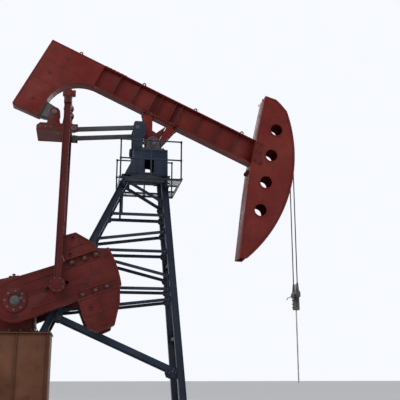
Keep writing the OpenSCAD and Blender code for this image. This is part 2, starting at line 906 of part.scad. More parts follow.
module rocker_frame() {
    low = rod_pin_p[1] - 100;
    high = rod_pin_p[1] + 120;
    color(red_paint) {
        for (side = [-1, 1])
            side_plate(side * rocker_y, rocker_bar_t)
                polygon([[rocker_x0, low], [rocker_x0, high - 90], [rocker_x0 + 100, high],
                    [rod_pin_p[0] + 110, high], [rod_pin_p[0] + 110, low]]);
        for (side = [-1, 1]) {
            side_plate(side * ear_y, ear_t)
                union() {
                    translate(tail_pin_p) circle(r = 130);
                    polygon([[tail_pin_p[0] - 250, low], tail_pin_p + [-125, 0], tail_pin_p + [120, 0],
                        [tail_pin_p[0] + 240, low]]);
                }
            side_plate(side * 290, ear_t)
                difference() {
                    union() {
                        translate(equalizer_p) circle(r = equalizer_r + 45);
                        polygon([[equalizer_p[0] - 200, low], equalizer_p + [-95, 0], equalizer_p + [95, 0],
                            [equalizer_p[0] + 80, low]]);
                    }
                    translate(equalizer_p) circle(r = equalizer_r + pin_clear);
                }
        }
        translate([rocker_x0, -rocker_y, low]) cube([650, 2 * rocker_y, 40]);
        translate([rocker_x0 + 630, -rocker_y, low]) cube([280, 2 * rocker_y, 40]);
    }
    color(bare_steel)
        cross_bar(tail_pin_p, tail_pin_r, -ear_y - ear_t / 2, ear_y + ear_t / 2);
}

module equalizer_beam() {
    color(red_paint)
        cross_bar(equalizer_p, equalizer_r, -pitman_y + pass_gap, pitman_y - pass_gap);
    color(bare_steel)
        cross_bar(equalizer_p, pitman_pin_r, -pitman_y - pitman_t - 20, pitman_y + pitman_t + 20);
}

// Pitmans
module pitman(side) {
    y = side * (pitman_y + pitman_t / 2);
    p = [equalizer_p[0], y, equalizer_p[1]];
    q = [crank_pin_p[0], y, crank_pin_p[1]];
    color(red_paint)
        difference() {
            union() {
                member(q, p) h_section(pitman_w, pitman_t - 40, 24);
                cross_bar(equalizer_p, 135, y - pitman_t / 2, y + pitman_t / 2);
                side_plate(y, pitman_t)
                    polygon([for (p = [[-145, 85], [195, 85], [195, -45], [95, -60], [95, -260],
                        [-105, -260], [-105, -60], [-145, -45]]) equalizer_p + p]);
                cross_bar(crank_pin_p, 200, y - pitman_t / 2, y + pitman_t / 2);
            }
            cross_bar(equalizer_p, pitman_pin_r + pin_clear, -2000, 2000);
        }
}

module pitman_near() { pitman(-1); }
module pitman_far() { pitman(1); }

// Push rods
module push_rods() {
    color(dark_steel)
        for (side = [-1, 1])
            side_plate(side * push_rod_y, push_rod_t)
                difference() {
                    union() {
                        translate(rod_pin_p) circle(r = 90);
                        translate(bracket_pin_p) circle(r = 90);
                        polygon([rod_pin_p + [0, -push_rod_h / 2], bracket_pin_p + [-150, -push_rod_h / 2],
                            bracket_pin_p + [0, -85], bracket_pin_p + [0, 85],
                            bracket_pin_p + [-150, push_rod_h / 2], rod_pin_p + [0, push_rod_h / 2]]);
                    }
                    translate(bracket_pin_p) circle(r = push_pin_r + pin_clear);
                }
}

// Cranks, drawn along X from the crank shaft and then turned to the crank's angle
module on_crank() {
    translate([crank_p[0], 0, crank_p[1]])
        rotate([0, -crank_angle, 0]) children();
}

crank_half = 520;
hub_half = 560;
weight_x0 = 1450;
weight_x1 = 2320;

module crank_shaft() {
    color(bare_steel)
        cross_bar(crank_p, crank_shaft_r, -crank_y - crank_t - 20, crank_y + crank_t + 20);
}

module crank(side) {
    y = side * (crank_y + crank_t / 2);
    pin_y0 = crank_y + crank_t - 10;
    pin_y1 = pitman_y - pass_gap;
    color(red_paint)
        on_crank() {
            side_plate(y, crank_t)
                difference() {
                    union() {
                        circle(r = hub_half);
                        intersection() {
                            circle(r = crank_reach, $fn = 180);
                            polygon([[0, -hub_half], [weight_x0, -crank_half], [crank_reach, -crank_half],
                                [crank_reach, crank_half], [weight_x0, crank_half], [0, hub_half]]);
                        }
                    }
                    circle(r = crank_shaft_r + pin_clear);
                    for (x = [crank_pin_arm - 250, crank_pin_arm + 250])
                        translate([x, 0]) circle(r = 50);
                }
            cross_bar([crank_pin_arm, 0], 110, side > 0 ? pin_y0 : -pin_y1, side > 0 ? pin_y1 : -pin_y0);
        }
}

module crank_near() { crank(-1); }
module crank_far() { crank(1); }

// The two blocks bolted to the edges of each crank: outline and lifting holes
upper_block = [[weight_x0, crank_half], [weight_x1, crank_half], [weight_x1, 640], [weight_x1 - 130, 860],
    [weight_x1 - 370, 1135], [weight_x0 + 200, 1150], [weight_x0 + 70, 1110], [weight_x0 + 10, 900]];
lower_block = [[weight_x0, -crank_half], [weight_x0 + 20, -1300], [weight_x0 + 220, -1455],
    [weight_x1 - 200, -1430], [weight_x1 + 110, -942], [weight_x1 + 260, -crank_half]];
upper_holes = [[1830, 1020], [1640, 640]];
lower_holes = [[1905, -1330], [1710, -820]];

module counterweights(side) {
    y = side * (crank_y - 20 + weight_t / 2);
    color(red_paint)
        on_crank()
            side_plate(y, weight_t)
                difference() {
                    union() {
                        polygon(upper_block);
                        polygon(lower_block);
                    }
                    for (p = concat(upper_holes, lower_holes))
                        translate(p) circle(r = 30, $fn = 24);
                }
}

module counterweights_near() { counterweights(-1); }
module counterweights_far() { counterweights(1); }

// Ropes, carrier bar, clamp and polished rod
module hanging_ropes() {
    color(dark_steel)
        for (side = [-1, 1])
            translate([rope_path_r, side * rope_gap / 2, carrier_top])
                cylinder(r = rope_r, h = pivot_height - carrier_top);
}

module carrier_bar() {
    half = rope_gap / 2 + 90;
    color(dark_steel)
        difference() {
            translate([rope_path_r - carrier_w / 2, -half, carrier_top - carrier_h])
                cube([carrier_w, 2 * half, carrier_h]);
            translate([rope_path_r, 0, carrier_top - carrier_h - 5])
                cylinder(r = rod_r + seat_gap, h = carrier_h + 10);
        }
}

module rod_clamp() {
    color(dark_steel)
        difference() {
            translate([rope_path_r - clamp_w / 2, -clamp_w / 2, carrier_top - carrier_h - clamp_h])
                cube([clamp_w, clamp_w, clamp_h]);
            translate([rope_path_r, 0, carrier_top - carrier_h - clamp_h - 5])
                cylinder(r = rod_r + seat_gap, h = clamp_h + 10);
        }
}

// The rod's lower end is a thinner pin, for the coupling of the rods in the well
rod_pin_h = 60;
rod_pin_r = rod_r - 4;

module polished_rod() {
    color(bare_steel)
        translate([rope_path_r, 0, rod_end]) {
            cylinder(r = rod_pin_r, h = rod_pin_h + 1);
            translate([0, 0, rod_pin_h])
                cylinder(r = rod_r, h = carrier_top + 100 - rod_end - rod_pin_h);
        }
}

base_skid();
gearbox_pedestal();
front_leg_near();
front_leg_far();
rear_leg_near();
rear_leg_far();
side_braces_near();
side_braces_far();
cross_braces();
post_head();
pivot_bearings();
push_rod_bracket();
work_platform();
guard_rails();
ladder();
gearbox_case();
gearbox_cover();
motor();
belt_guard();
drive_belt();
motor_sheave();
input_sheave();
walking_beam();
tail_counterweight();
tail_bearing();
saddle();
horse_head_near_plate();
horse_head_far_plate();
horse_head_face();
horse_head_back();
rope_anchor();
rocker_frame();
equalizer_beam();
pitman_near();
pitman_far();
push_rods();
crank_shaft();
crank_near();
crank_far();
counterweights_near();
counterweights_far();
hanging_ropes();
carrier_bar();
rod_clamp();
polished_rod();
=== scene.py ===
# %% [markdown]
# # A beam pumping unit
# The machine nods over an oil well: a motor drives a gearbox, the cranks swing two long links (the pitmans),
# and they rock a heavy beam whose curved head lifts the rod. Its frame comes from CAD, and this file gives it
# its looks. Every cell below makes one step, and most print what they made.

# %% Load the frame
import json
import math
from itertools import product
import bpy
import bmesh
from mathutils import Matrix, Vector

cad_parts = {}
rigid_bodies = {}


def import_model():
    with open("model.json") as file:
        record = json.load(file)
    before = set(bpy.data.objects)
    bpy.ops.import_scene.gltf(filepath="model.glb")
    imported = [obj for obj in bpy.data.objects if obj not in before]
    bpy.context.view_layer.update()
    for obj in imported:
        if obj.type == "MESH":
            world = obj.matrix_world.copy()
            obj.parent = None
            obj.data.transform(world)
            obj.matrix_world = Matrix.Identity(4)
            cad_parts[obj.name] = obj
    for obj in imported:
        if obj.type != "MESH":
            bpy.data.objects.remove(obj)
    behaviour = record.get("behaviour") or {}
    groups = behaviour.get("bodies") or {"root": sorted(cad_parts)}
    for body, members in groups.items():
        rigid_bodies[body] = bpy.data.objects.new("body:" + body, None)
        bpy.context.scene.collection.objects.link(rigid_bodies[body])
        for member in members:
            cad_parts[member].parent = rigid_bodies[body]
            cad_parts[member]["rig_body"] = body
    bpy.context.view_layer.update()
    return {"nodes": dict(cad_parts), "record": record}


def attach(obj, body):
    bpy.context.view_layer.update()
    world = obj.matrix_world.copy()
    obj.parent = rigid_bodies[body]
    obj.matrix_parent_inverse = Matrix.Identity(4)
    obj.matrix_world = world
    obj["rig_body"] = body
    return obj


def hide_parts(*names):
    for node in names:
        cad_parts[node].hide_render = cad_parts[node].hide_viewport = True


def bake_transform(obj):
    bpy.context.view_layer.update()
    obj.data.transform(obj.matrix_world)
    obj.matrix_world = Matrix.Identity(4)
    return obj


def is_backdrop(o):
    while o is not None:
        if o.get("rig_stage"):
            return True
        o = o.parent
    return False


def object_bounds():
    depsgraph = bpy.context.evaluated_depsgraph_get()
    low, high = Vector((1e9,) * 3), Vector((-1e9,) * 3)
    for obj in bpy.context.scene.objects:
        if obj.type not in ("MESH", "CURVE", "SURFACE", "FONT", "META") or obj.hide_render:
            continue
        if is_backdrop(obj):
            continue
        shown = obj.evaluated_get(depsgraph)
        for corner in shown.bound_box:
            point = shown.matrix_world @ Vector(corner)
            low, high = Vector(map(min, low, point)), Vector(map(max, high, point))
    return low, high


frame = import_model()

nodes = frame["nodes"]

# %% [markdown]
# ## Camera
# The photograph looks up at the machine from near the ground, a little from the rear left. The camera stands
# where the lines of the photograph say, so the picture has the same slopes and the same parts run out of its
# edges.

# %% Camera
scene = bpy.context.scene
camera = bpy.data.objects.new("camera", bpy.data.cameras.new("camera"))
scene.collection.objects.link(camera)
camera.data.sensor_width = 36
camera.data.lens = 61.2
camera.data.clip_end = 400
camera.location = (-1.90, -18.68, 1.45)
camera.rotation_euler = (math.radians(104.43), 0, math.radians(-10.1))
scene.camera = camera
scene.view_settings.view_transform = "Standard"
print("camera at", tuple(camera.location), "lens", camera.data.lens)

# %% [markdown]
# ## Light and floor
# A studio shows paint as it is: a pale sky all round, a large soft lamp in front and a weaker one behind that
# draws the edges. The background is white because the camera's rays, and mirror rays, see a brighter sky than
# the paint does.

# %% World and lamps
SKY_LIGHT = 0.55
world = bpy.data.worlds.new("studio")
scene.world = world
world.use_nodes = True
tree = world.node_tree
sky = tree.nodes["Background"]
sky.inputs["Color"].default_value = (0.93, 0.95, 1.0, 1)
path = tree.nodes.new("ShaderNodeLightPath")
either = tree.nodes.new("ShaderNodeMath")
either.operation = "MAXIMUM"
both = tree.nodes.new("ShaderNodeMath")
both.operation = "MAXIMUM"
level = tree.nodes.new("ShaderNodeMapRange")
level.inputs["To Min"].default_value = SKY_LIGHT
level.inputs["To Max"].default_value = 1.0
tree.links.new(path.outputs["Is Camera Ray"], either.inputs[0])
tree.links.new(path.outputs["Is Glossy Ray"], either.inputs[1])
tree.links.new(either.outputs[0], both.inputs[0])
tree.links.new(path.outputs["Is Transmission Ray"], both.inputs[1])
tree.links.new(both.outputs[0], level.inputs["Value"])
tree.links.new(level.outputs["Result"], sky.inputs["Strength"])


def soft_lamp(name, place, aim, size, power):
    lamp = bpy.data.objects.new(name, bpy.data.lights.new(name, "AREA"))
    scene.collection.objects.link(lamp)
    lamp.data.size = size
    lamp.data.energy = power
    lamp.location = place
    lamp.rotation_euler = (Vector(aim) - Vector(place)).to_track_quat("-Z", "Y").to_euler()
    return lamp


soft_lamp("key_lamp", (-12, -20, 17), (-1.5, 0, 5), 9, 1400)
soft_lamp("fill_lamp", (14, -14, 9), (0, 0, 5), 10, 460)
soft_lamp("back_lamp", (6, 18, 14), (0, 0, 6), 9, 760)
print("three soft lamps")

# %% Floor
floor_mesh = bpy.data.meshes.new("floor")
bm = bmesh.new()
bmesh.ops.create_grid(bm, x_segments=1, y_segments=1, size=150)
bm.to_mesh(floor_mesh)
bm.free()
floor = bpy.data.objects.new("floor", floor_mesh)
scene.collection.objects.link(floor)
floor_paint = bpy.data.materials.new("floor_paint")
floor_paint.use_nodes = True
floor_shader = floor_paint.node_tree.nodes["Principled BSDF"]
floor_shader.inputs["Base Color"].default_value = (0.80, 0.80, 0.79, 1)
floor_shader.inputs["Roughness"].default_value = 0.9
floor_mesh.materials.append(floor_paint)
floor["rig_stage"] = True
print("floor laid")

# %% [markdown]
# ## Finishes
# The paint on such a machine ages in the same ways everywhere: it fades in blotches, rain draws streaks down
# it, it chips along edges where steel shows and rusts, dust lies on what faces up, and grease darkens what
# turns. Hollows and corners also get painted shade from an occlusion mask, mixed in with the grease. Each of
# these is a mask. They are built once, in a node group, and every paint uses the group with its own numbers.
# The pattern reads Object coordinates, so it stays on its piece when that moves.


# %% A small kit for building shader nodes
class Graph:
    def __init__(self, tree):
        self.tree = tree

    def node(self, kind, **settings):
        made = self.tree.nodes.new("ShaderNode" + kind)
        for key, value in settings.items():
            setattr(made, key, value)
        return made

    def feed(self, node, **values):
        for key, value in values.items():
            numbered = key[0] == "i" and key[1:].isdigit()
            socket = node.inputs[int(key[1:]) if numbered else key.replace("_", " ")]
            if isinstance(value, bpy.types.NodeSocket):
                self.tree.links.new(value, socket)
            else:
                socket.default_value = value
        return node

    def math(self, operation, a, b=0.0, clamp=False):
        return self.feed(self.node("Math", operation=operation, use_clamp=clamp), i0=a, i1=b).outputs[0]

    def times(self, a, b, clamp=False):
        return self.math("MULTIPLY", a, b, clamp)

    def plus(self, a, b, clamp=False):
        return self.math("ADD", a, b, clamp)

    def most(self, a, b, clamp=False):
        return self.math("MAXIMUM", a, b, clamp)

    def noise(self, vector, scale, detail=4.0, roughness=0.55):
        made = self.node("TexNoise")
        return self.feed(made, Vector=vector, Scale=scale, Detail=detail, Roughness=roughness).outputs["Fac"]

    def stretch(self, vector, scale):
        return self.feed(self.node("Mapping"), Vector=vector, Scale=scale).outputs[0]

    def span(self, value, low, high, to_low=0.0, to_high=1.0):
        return self.feed(self.node("MapRange", interpolation_type="SMOOTHSTEP"), Value=value, From_Min=low,
                         From_Max=high, To_Min=to_low, To_Max=to_high).outputs["Result"]

    def mix(self, factor, a, b):
        return self.feed(self.node("Mix", data_type="RGBA"), i0=factor, i6=a, i7=b).outputs[2]


def new_group(name, inputs, outputs):
    tree = bpy.data.node_groups.new(name, "ShaderNodeTree")
    for label, kind, value in inputs:
        socket = tree.interface.new_socket(name=label, in_out="INPUT", socket_type="NodeSocket" + kind)
        socket.default_value = value
    for label, kind in outputs:
        tree.interface.new_socket(name=label, in_out="OUTPUT", socket_type="NodeSocket" + kind)
    graph = Graph(tree)
    return graph, tree.nodes.new("NodeGroupInput").outputs, tree.nodes.new("NodeGroupOutput")


print("node kit ready")

# %% Edge mask and painted hollow shade mask
graph, given, result = new_group("edges and hollow shade", [("Width", "Float", 0.012), ("Scale", "Float", 1.0)],
                                 [("Edge", "Float"), ("Hollow", "Float")])
place = graph.node("TexCoord").outputs["Object"]
bent = graph.feed(graph.node("Bevel", samples=4), Radius=given["Width"]).outputs[0]
facing = graph.node("NewGeometry").outputs["Normal"]
same = graph.feed(graph.node("VectorMath", operation="DOT_PRODUCT"), i0=bent, i1=facing).outputs["Value"]
edge = graph.span(same, 0.995, 0.86)
ragged = graph.noise(place, graph.times(given["Scale"], 22.0), 6.0, 0.7)
edge = graph.times(edge, graph.span(ragged, 0.42, 0.60))
# Painted shade: the occlusion node darkens hollows and the corners between parts, and the finishes mix this
# into their grease and grime.
shade = graph.feed(graph.node("AmbientOcclusion", samples=4), Distance=0.12).outputs["AO"]
graph.feed(result, Edge=edge, Hollow=graph.span(shade, 0.95, 0.35))
edge_and_shade_group = graph.tree
print("mask group:", edge_and_shade_group.name)

# %% Weathered paint
graph, given, result = new_group(
    "weathered paint",
    [("Paint", "Color", (0.3, 0.05, 0.04, 1)), ("Faded", "Color", (0.4, 0.12, 0.1, 1)),
     ("Rust", "Color", (0.16, 0.05, 0.02, 1)), ("Dust", "Color", (0.35, 0.27, 0.2, 1)),
     ("Chips", "Float", 0.5), ("Rusting", "Float", 0.4), ("Dusty", "Float", 0.4), ("Greasy", "Float", 0.2)],
    [("Color", "Color"), ("Roughness", "Float"), ("Height", "Float")])
place = graph.node("TexCoord").outputs["Object"]
masks = graph.node("Group", node_tree=edge_and_shade_group)
blotch = graph.noise(place, 0.9, 5.0, 0.6)
cloud = graph.noise(place, 5.0, 6.0, 0.65)
colour = graph.mix(graph.span(blotch, 0.38, 0.66), given["Paint"], given["Faded"])
colour = graph.mix(graph.span(cloud, 0.45, 0.8, 0.0, 0.5), colour, given["Faded"])
runs = graph.noise(graph.stretch(place, (11.0, 11.0, 0.55)), 1.0, 5.0, 0.6)
thin_runs = graph.noise(graph.stretch(place, (38.0, 38.0, 0.8)), 1.0, 3.0, 0.6)
streak = graph.times(graph.span(runs, 0.52, 0.70), graph.span(thin_runs, 0.40, 0.65))
streak = graph.times(streak, given["Rusting"])
colour = graph.mix(graph.times(streak, 0.75, True), colour, given["Rust"])
spots = graph.noise(place, 26.0, 8.0, 0.72)
patch = graph.noise(place, 2.2, 4.0, 0.6)
bare = graph.times(graph.span(spots, 0.58, 0.66), graph.span(patch, 0.48, 0.66))
bare = graph.times(bare, given["Rusting"])
bare = graph.most(bare, graph.times(masks.outputs["Edge"], given["Chips"]), True)
rust_tone = graph.mix(graph.noise(place, 40.0, 5.0, 0.6), given["Rust"], (0.045, 0.022, 0.016, 1))
colour = graph.mix(bare, colour, rust_tone)
grease_and_shade = graph.times(graph.span(graph.noise(place, 3.2, 5.0, 0.6), 0.50, 0.72), given["Greasy"])
# Painted shade: hollows from the occlusion mask are darkened along with the real grease.
grease_and_shade = graph.most(grease_and_shade, graph.times(masks.outputs["Hollow"], 0.65), True)
colour = graph.mix(graph.times(grease_and_shade, 0.7), colour, (0.012, 0.010, 0.010, 1))
upward = graph.node("SeparateXYZ")
graph.feed(upward, Vector=graph.node("NewGeometry").outputs["Normal"])
lying = graph.span(upward.outputs["Z"], 0.35, 0.95)
lying = graph.times(lying, graph.span(graph.noise(place, 7.0, 6.0, 0.65), 0.30, 0.62))
lying = graph.times(lying, given["Dusty"], True)
colour = graph.mix(lying, colour, given["Dust"])
rough = graph.span(cloud, 0.3, 0.75, 0.42, 0.60)
rough = graph.plus(rough, graph.times(bare, 0.30))
rough = graph.plus(rough, graph.times(lying, 0.30))
rough = graph.math("SUBTRACT", rough, graph.times(grease_and_shade, 0.16), True)
height = graph.times(graph.noise(place, 90.0, 3.0, 0.5), 0.25)
height = graph.plus(height, graph.times(bare, -0.8))
height = graph.plus(height, graph.times(graph.noise(place, 12.0, 3.0, 0.5), 0.5))
graph.feed(result, Color=colour, Roughness=rough, Height=height)
paint_group = graph.tree
print("paint group:", paint_group.name)

# %% Worn metal
graph, given, result = new_group("worn metal",
                                 [("Metal", "Color", (0.3, 0.3, 0.31, 1)),
                                  ("Grime", "Color", (0.03, 0.025, 0.02, 1)),
                                  ("Rust", "Color", (0.15, 0.06, 0.03, 1)), ("Grimy", "Float", 0.5),
                                  ("Rusting", "Float", 0.3), ("Shine", "Float", 0.4)],
                                 [("Color", "Color"), ("Roughness", "Float"), ("Metallic", "Float"),
                                  ("Height", "Float")])
place = graph.node("TexCoord").outputs["Object"]
masks = graph.node("Group", node_tree=edge_and_shade_group)
grain = graph.noise(place, 60.0, 5.0, 0.6)
grime_and_shade = graph.span(graph.noise(place, 4.0, 6.0, 0.65), 0.40, 0.68)
# Painted shade: hollows from the occlusion mask are darkened along with the real grime film.
grime_and_shade = graph.most(graph.times(grime_and_shade, given["Grimy"]), graph.times(masks.outputs["Hollow"], 0.8), True)
rusty = graph.times(graph.span(graph.noise(place, 9.0, 8.0, 0.7), 0.52, 0.68), given["Rusting"])
bright = graph.times(masks.outputs["Edge"], 0.6)
colour = graph.mix(graph.span(grain, 0.3, 0.7, 0.0, 0.4), given["Metal"], given["Grime"])
colour = graph.mix(bright, colour, (0.50, 0.49, 0.48, 1))
colour = graph.mix(grime_and_shade, colour, given["Grime"])
colour = graph.mix(rusty, colour, given["Rust"])
rough = graph.plus(given["Shine"], graph.times(grain, 0.18))
rough = graph.plus(rough, graph.times(rusty, 0.35), True)
covered = graph.most(rusty, graph.times(grime_and_shade, 0.7))
metallic = graph.math("SUBTRACT", 1.0, covered, True)
height = graph.plus(graph.times(grain, 0.3), graph.times(rusty, 0.5))
graph.feed(result, Color=colour, Roughness=rough, Metallic=metallic, Height=height)
metal_group = graph.tree
print("metal group:", metal_group.name)


# %% Materials from the groups
def dress(name, group, bump, **values):
    material = bpy.data.materials.new(name)
    material.use_nodes = True
    graph = Graph(material.node_tree)
    shader = material.node_tree.nodes["Principled BSDF"]
    skin = graph.node("Group", node_tree=group)
    for key, value in values.items():
        skin.inputs[key].default_value = value
    graph.feed(shader, Base_Color=skin.outputs["Color"], Roughness=skin.outputs["Roughness"])
    if "Metallic" in skin.outputs:
        graph.feed(shader, Metallic=skin.outputs["Metallic"])
    else:
        shader.inputs["Specular IOR Level"].default_value = 0.16
    relief = graph.feed(graph.node("Bump"), Height=skin.outputs["Height"], Strength=0.5, Distance=bump)
    graph.feed(shader, Normal=relief.outputs[0])
    material.diffuse_color = values.get("Paint", values.get("Metal"))
    return material


DRY_DUST = (0.30, 0.235, 0.18, 1)
red_paint = dress("red paint", paint_group, 0.004, Paint=(0.125, 0.009, 0.007, 1),
                  Faded=(0.170, 0.020, 0.014, 1), Rust=(0.085, 0.026, 0.012, 1), Dust=DRY_DUST, Chips=0.75,
                  Rusting=0.55, Dusty=0.35, Greasy=0.45)
dark_red_paint = dress("dark red paint", paint_group, 0.005, Paint=(0.085, 0.008, 0.007, 1),
                       Faded=(0.122, 0.016, 0.012, 1), Rust=(0.075, 0.024, 0.012, 1), Dust=DRY_DUST,
                       Chips=0.8, Rusting=0.6, Dusty=0.4, Greasy=0.75)
navy_paint = dress("navy paint", paint_group, 0.004, Paint=(0.014, 0.023, 0.042, 1),
                   Faded=(0.025, 0.038, 0.062, 1), Rust=(0.10, 0.040, 0.020, 1), Dust=DRY_DUST, Chips=0.7,
                   Rusting=0.4, Dusty=0.35, Greasy=0.3)
brown_paint = dress("brown paint", paint_group, 0.004, Paint=(0.115, 0.042, 0.022, 1),
                    Faded=(0.165, 0.070, 0.038, 1), Rust=(0.10, 0.034, 0.014, 1), Dust=DRY_DUST, Chips=0.7,
                    Rusting=0.9, Dusty=0.6, Greasy=0.4)
dark_steel = dress("dark steel", metal_group, 0.002, Metal=(0.075, 0.077, 0.082, 1), Grimy=0.6, Rusting=0.35,
                   Shine=0.42)
bolt_steel = dress("bolt steel", metal_group, 0.001, Metal=(0.115, 0.110, 0.105, 1), Grimy=0.5, Rusting=0.65,
                   Shine=0.42)
bright_steel = dress("bright steel", metal_group, 0.0008, Metal=(0.46, 0.45, 0.44, 1), Grimy=0.35,
                     Rusting=0.12, Shine=0.22)
deck_steel = dress("deck steel", metal_group, 0.001, Metal=(0.20, 0.21, 0.22, 1), Grimy=0.45, Rusting=0.45,
                   Shine=0.5)
rope_wire = dress("rope wire", metal_group, 0.001, Metal=(0.060, 0.058, 0.056, 1), Grimy=0.6, Rusting=0.3,
                  Shine=0.45)
print("finishes:", [m.name for m in bpy.data.materials])

# %% Rubber of the belts
rubber = bpy.data.materials.new("belt rubber")
rubber.use_nodes = True
graph = Graph(rubber.node_tree)
shader = rubber.node_tree.nodes["Principled BSDF"]
place = graph.node("TexCoord").outputs["Object"]
dusty = graph.span(graph.noise(place, 14.0, 6.0, 0.65), 0.45, 0.75, 0.0, 0.5)
graph.feed(shader, Base_Color=graph.mix(dusty, (0.012, 0.012, 0.013, 1), (0.07, 0.06, 0.05, 1)),
           Roughness=graph.span(dusty, 0.0, 0.5, 0.55, 0.85))
relief = graph.feed(graph.node("Bump"), Height=graph.noise(place, 120.0), Strength=0.4, Distance=0.001)
graph.feed(shader, Normal=relief.outputs[0])
print("rubber ready")

# %% Every CAD node gets its finish
FINISH = {"red_paint": red_paint, "navy_paint": navy_paint, "brown_paint": brown_paint,
          "dark_steel": dark_steel, "bare_steel": bright_steel, "belt_rubber": rubber}
SLOT = {entry["node"]: entry["material_slot"] for entry in frame["record"]["subparts"]}
OWN_FINISH = {name: dark_red_paint for name in ("gearbox_case", "gearbox_cover", "crank_near", "crank_far",
                                                "counterweights_near", "counterweights_far", "rocker_frame",
                                                "pitman_near", "pitman_far")}
OWN_FINISH["crank_shaft"] = dark_steel
for name, node in nodes.items():
    finish = OWN_FINISH.get(name, FINISH[SLOT[name]])
    if not node.material_slots:
        node.data.materials.append(finish)
    for held in node.material_slots:
        held.material = finish
print("finished nodes:", len(nodes))

# A finish and a slot name, for pieces that are added.
BOLTS, STEEL = (bolt_steel, "bare_steel"), (dark_steel, "dark_steel")
RED, DARK_RED = (red_paint, "red_paint"), (dark_red_paint, "red_paint")
NAVY, BROWN = (navy_paint, "navy_paint"), (brown_paint, "brown_paint")

# %% [markdown]
# ## Modelling kit
# Steel plate is cut, welded and bolted, so nearly every piece here starts from the same few forms: a plate
# cut to an outline, a box, a bar, a ring and a bolt. Each helper adds one such form to a bmesh with an
# operator, gives its edges the small rounding that real plate has, and can place it in the frame of the beam,
# a crank or a leaning side.


# %% Places and frames of the machine
SIDES, UP, DOWN = (-1, 1), (0, 0, 1), (0, 0, -1)
PIVOT_Z, BEAM_SLOPE = 7.85, 24.3
CRANK_X, CRANK_Z, CRANK_ANGLE = -3.46, 3.25, 20.8
LEG_TOP, LEG_Y, LEG_LEAN = 6.85, 0.44, math.radians(2.9)
EQUAL_X, EQUAL_Z = -2.40, 8.75
WRIST_X, WRIST_Z = -2.44, 3.637
ON_BEAM = Matrix.Translation((0, 0, PIVOT_Z)) @ Matrix.Rotation(math.radians(BEAM_SLOPE), 4, "Y")
ON_CRANK = Matrix.Translation((CRANK_X, 0, CRANK_Z)) @ Matrix.Rotation(math.radians(-CRANK_ANGLE), 4, "Y")


def on_side(side):
    return Matrix.Translation((0, side * LEG_Y, LEG_TOP)) @ Matrix.Rotation(side * LEG_LEAN, 4, "X")


def polar(radius, degrees):
    return radius * math.cos(math.radians(degrees)), radius * math.sin(math.radians(degrees))


def on_arc(radius, degrees):
    """A point in X and Z on an arc round the pivot."""
    x, z = polar(radius, degrees)
    return x, PIVOT_Z + z


def about(middle, reach):
    return middle - reach, middle + reach


print("frames of the beam, the cranks and the sides")


# %% Starting and finishing a piece
def join(bm, part, matrix=None):
    """Adds the finished part to bm, placed by the matrix."""
    if matrix is not None:
        bmesh.ops.transform(part, matrix=matrix, verts=part.verts)
    held = bpy.data.meshes.new("part")
    part.to_mesh(held)
    part.free()
    bm.from_mesh(held)
    bpy.data.meshes.remove(held)


def piece(name, bm, body, finish, slot, smooth=32, stands_for=()):
    """Makes bm an object that rides a body and, where stands_for names nodes, replaces them."""
    bmesh.ops.recalc_face_normals(bm, faces=bm.faces)
    mesh = bpy.data.meshes.new(name)
    bm.to_mesh(mesh)
    bm.free()
    made = bpy.data.objects.new(name, mesh)
    scene.collection.objects.link(made)
    mesh.materials.append(finish)
    mesh.shade_smooth()
    mesh.set_sharp_from_angle(angle=math.radians(smooth))
    if body:
        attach(made, body)
    if stands_for:
        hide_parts(*stands_for)
    print(name, len(mesh.polygons), "faces")
    return made


print("kit: joining and finishing")


# %% Box, plate and bar
def round_edges(bm, edges, width, segments=1):
    if width > 0 and edges:
        bmesh.ops.bevel(bm, geom=list(edges), offset=width, offset_type="OFFSET", affect="EDGES",
                        segments=segments, profile=0.5, material=-1, clamp_overlap=True)


def pull(part, faces, depth):
    """Extrudes faces along Y."""
    grown = bmesh.ops.extrude_face_region(part, geom=faces)["geom"]
    bmesh.ops.translate(part, vec=(0, depth, 0),
                        verts=[g for g in grown if isinstance(g, bmesh.types.BMVert)])


def add_box(bm, low, high, edge=0.003, matrix=None):
    """A box between two corners, in any order."""
    part = bmesh.new()
    low, high = (Vector(tuple(map(pick, low, high))) for pick in (min, max))
    bmesh.ops.create_cube(part, size=1)
    bmesh.ops.scale(part, vec=high - low, verts=part.verts)
    bmesh.ops.translate(part, vec=(low + high) / 2, verts=part.verts)
    round_edges(part, part.edges[:], edge)
    join(bm, part, matrix)


def add_block(bm, centre, half, edge=0.003, matrix=None):
    """A box round its centre, half as long, deep and high as half says."""
    centre, half = Vector(centre), Vector(half)
    add_box(bm, centre - half, centre + half, edge, matrix)


def add_plate(bm, outline, y0, y1, edge=0.003, matrix=None):
    """A plate cut to an outline in X and Z, between y0 and y1."""
    part = bmesh.new()
    y0, y1 = sorted((y0, y1))
    pull(part, [part.faces.new([part.verts.new((x, y0, z)) for x, z in outline])], y1 - y0)
    round_edges(part, part.edges[:], edge)
    join(bm, part, matrix)


def add_border(bm, outline, y0, y1, margin, width, edge=0.003, matrix=None):
    """A raised strip that follows an outline in X and Z, set in from it by a margin."""
    part = bmesh.new()
    face = part.faces.new([part.verts.new((x, y0, z)) for x, z in outline])
    inset = {"faces": [face], "use_boundary": True, "use_even_offset": True}
    rim = bmesh.ops.inset_region(part, thickness=margin, **inset)["faces"]
    bmesh.ops.delete(part, geom=rim, context="FACES")
    rim = bmesh.ops.inset_region(part, thickness=width, **inset)["faces"]
    bmesh.ops.delete(part, geom=[face], context="FACES_ONLY")
    pull(part, rim, y1 - y0)
    bmesh.ops.recalc_face_normals(part, faces=part.faces)
    round_edges(part, [e for e in part.edges if len(e.link_faces) == 2 and e.calc_face_angle(0) > 0.6], edge)
    join(bm, part, matrix)


def turned_to(axis):
    return Vector((0, 0, 1)).rotation_difference(Vector(axis).normalized()).to_matrix().to_4x4()


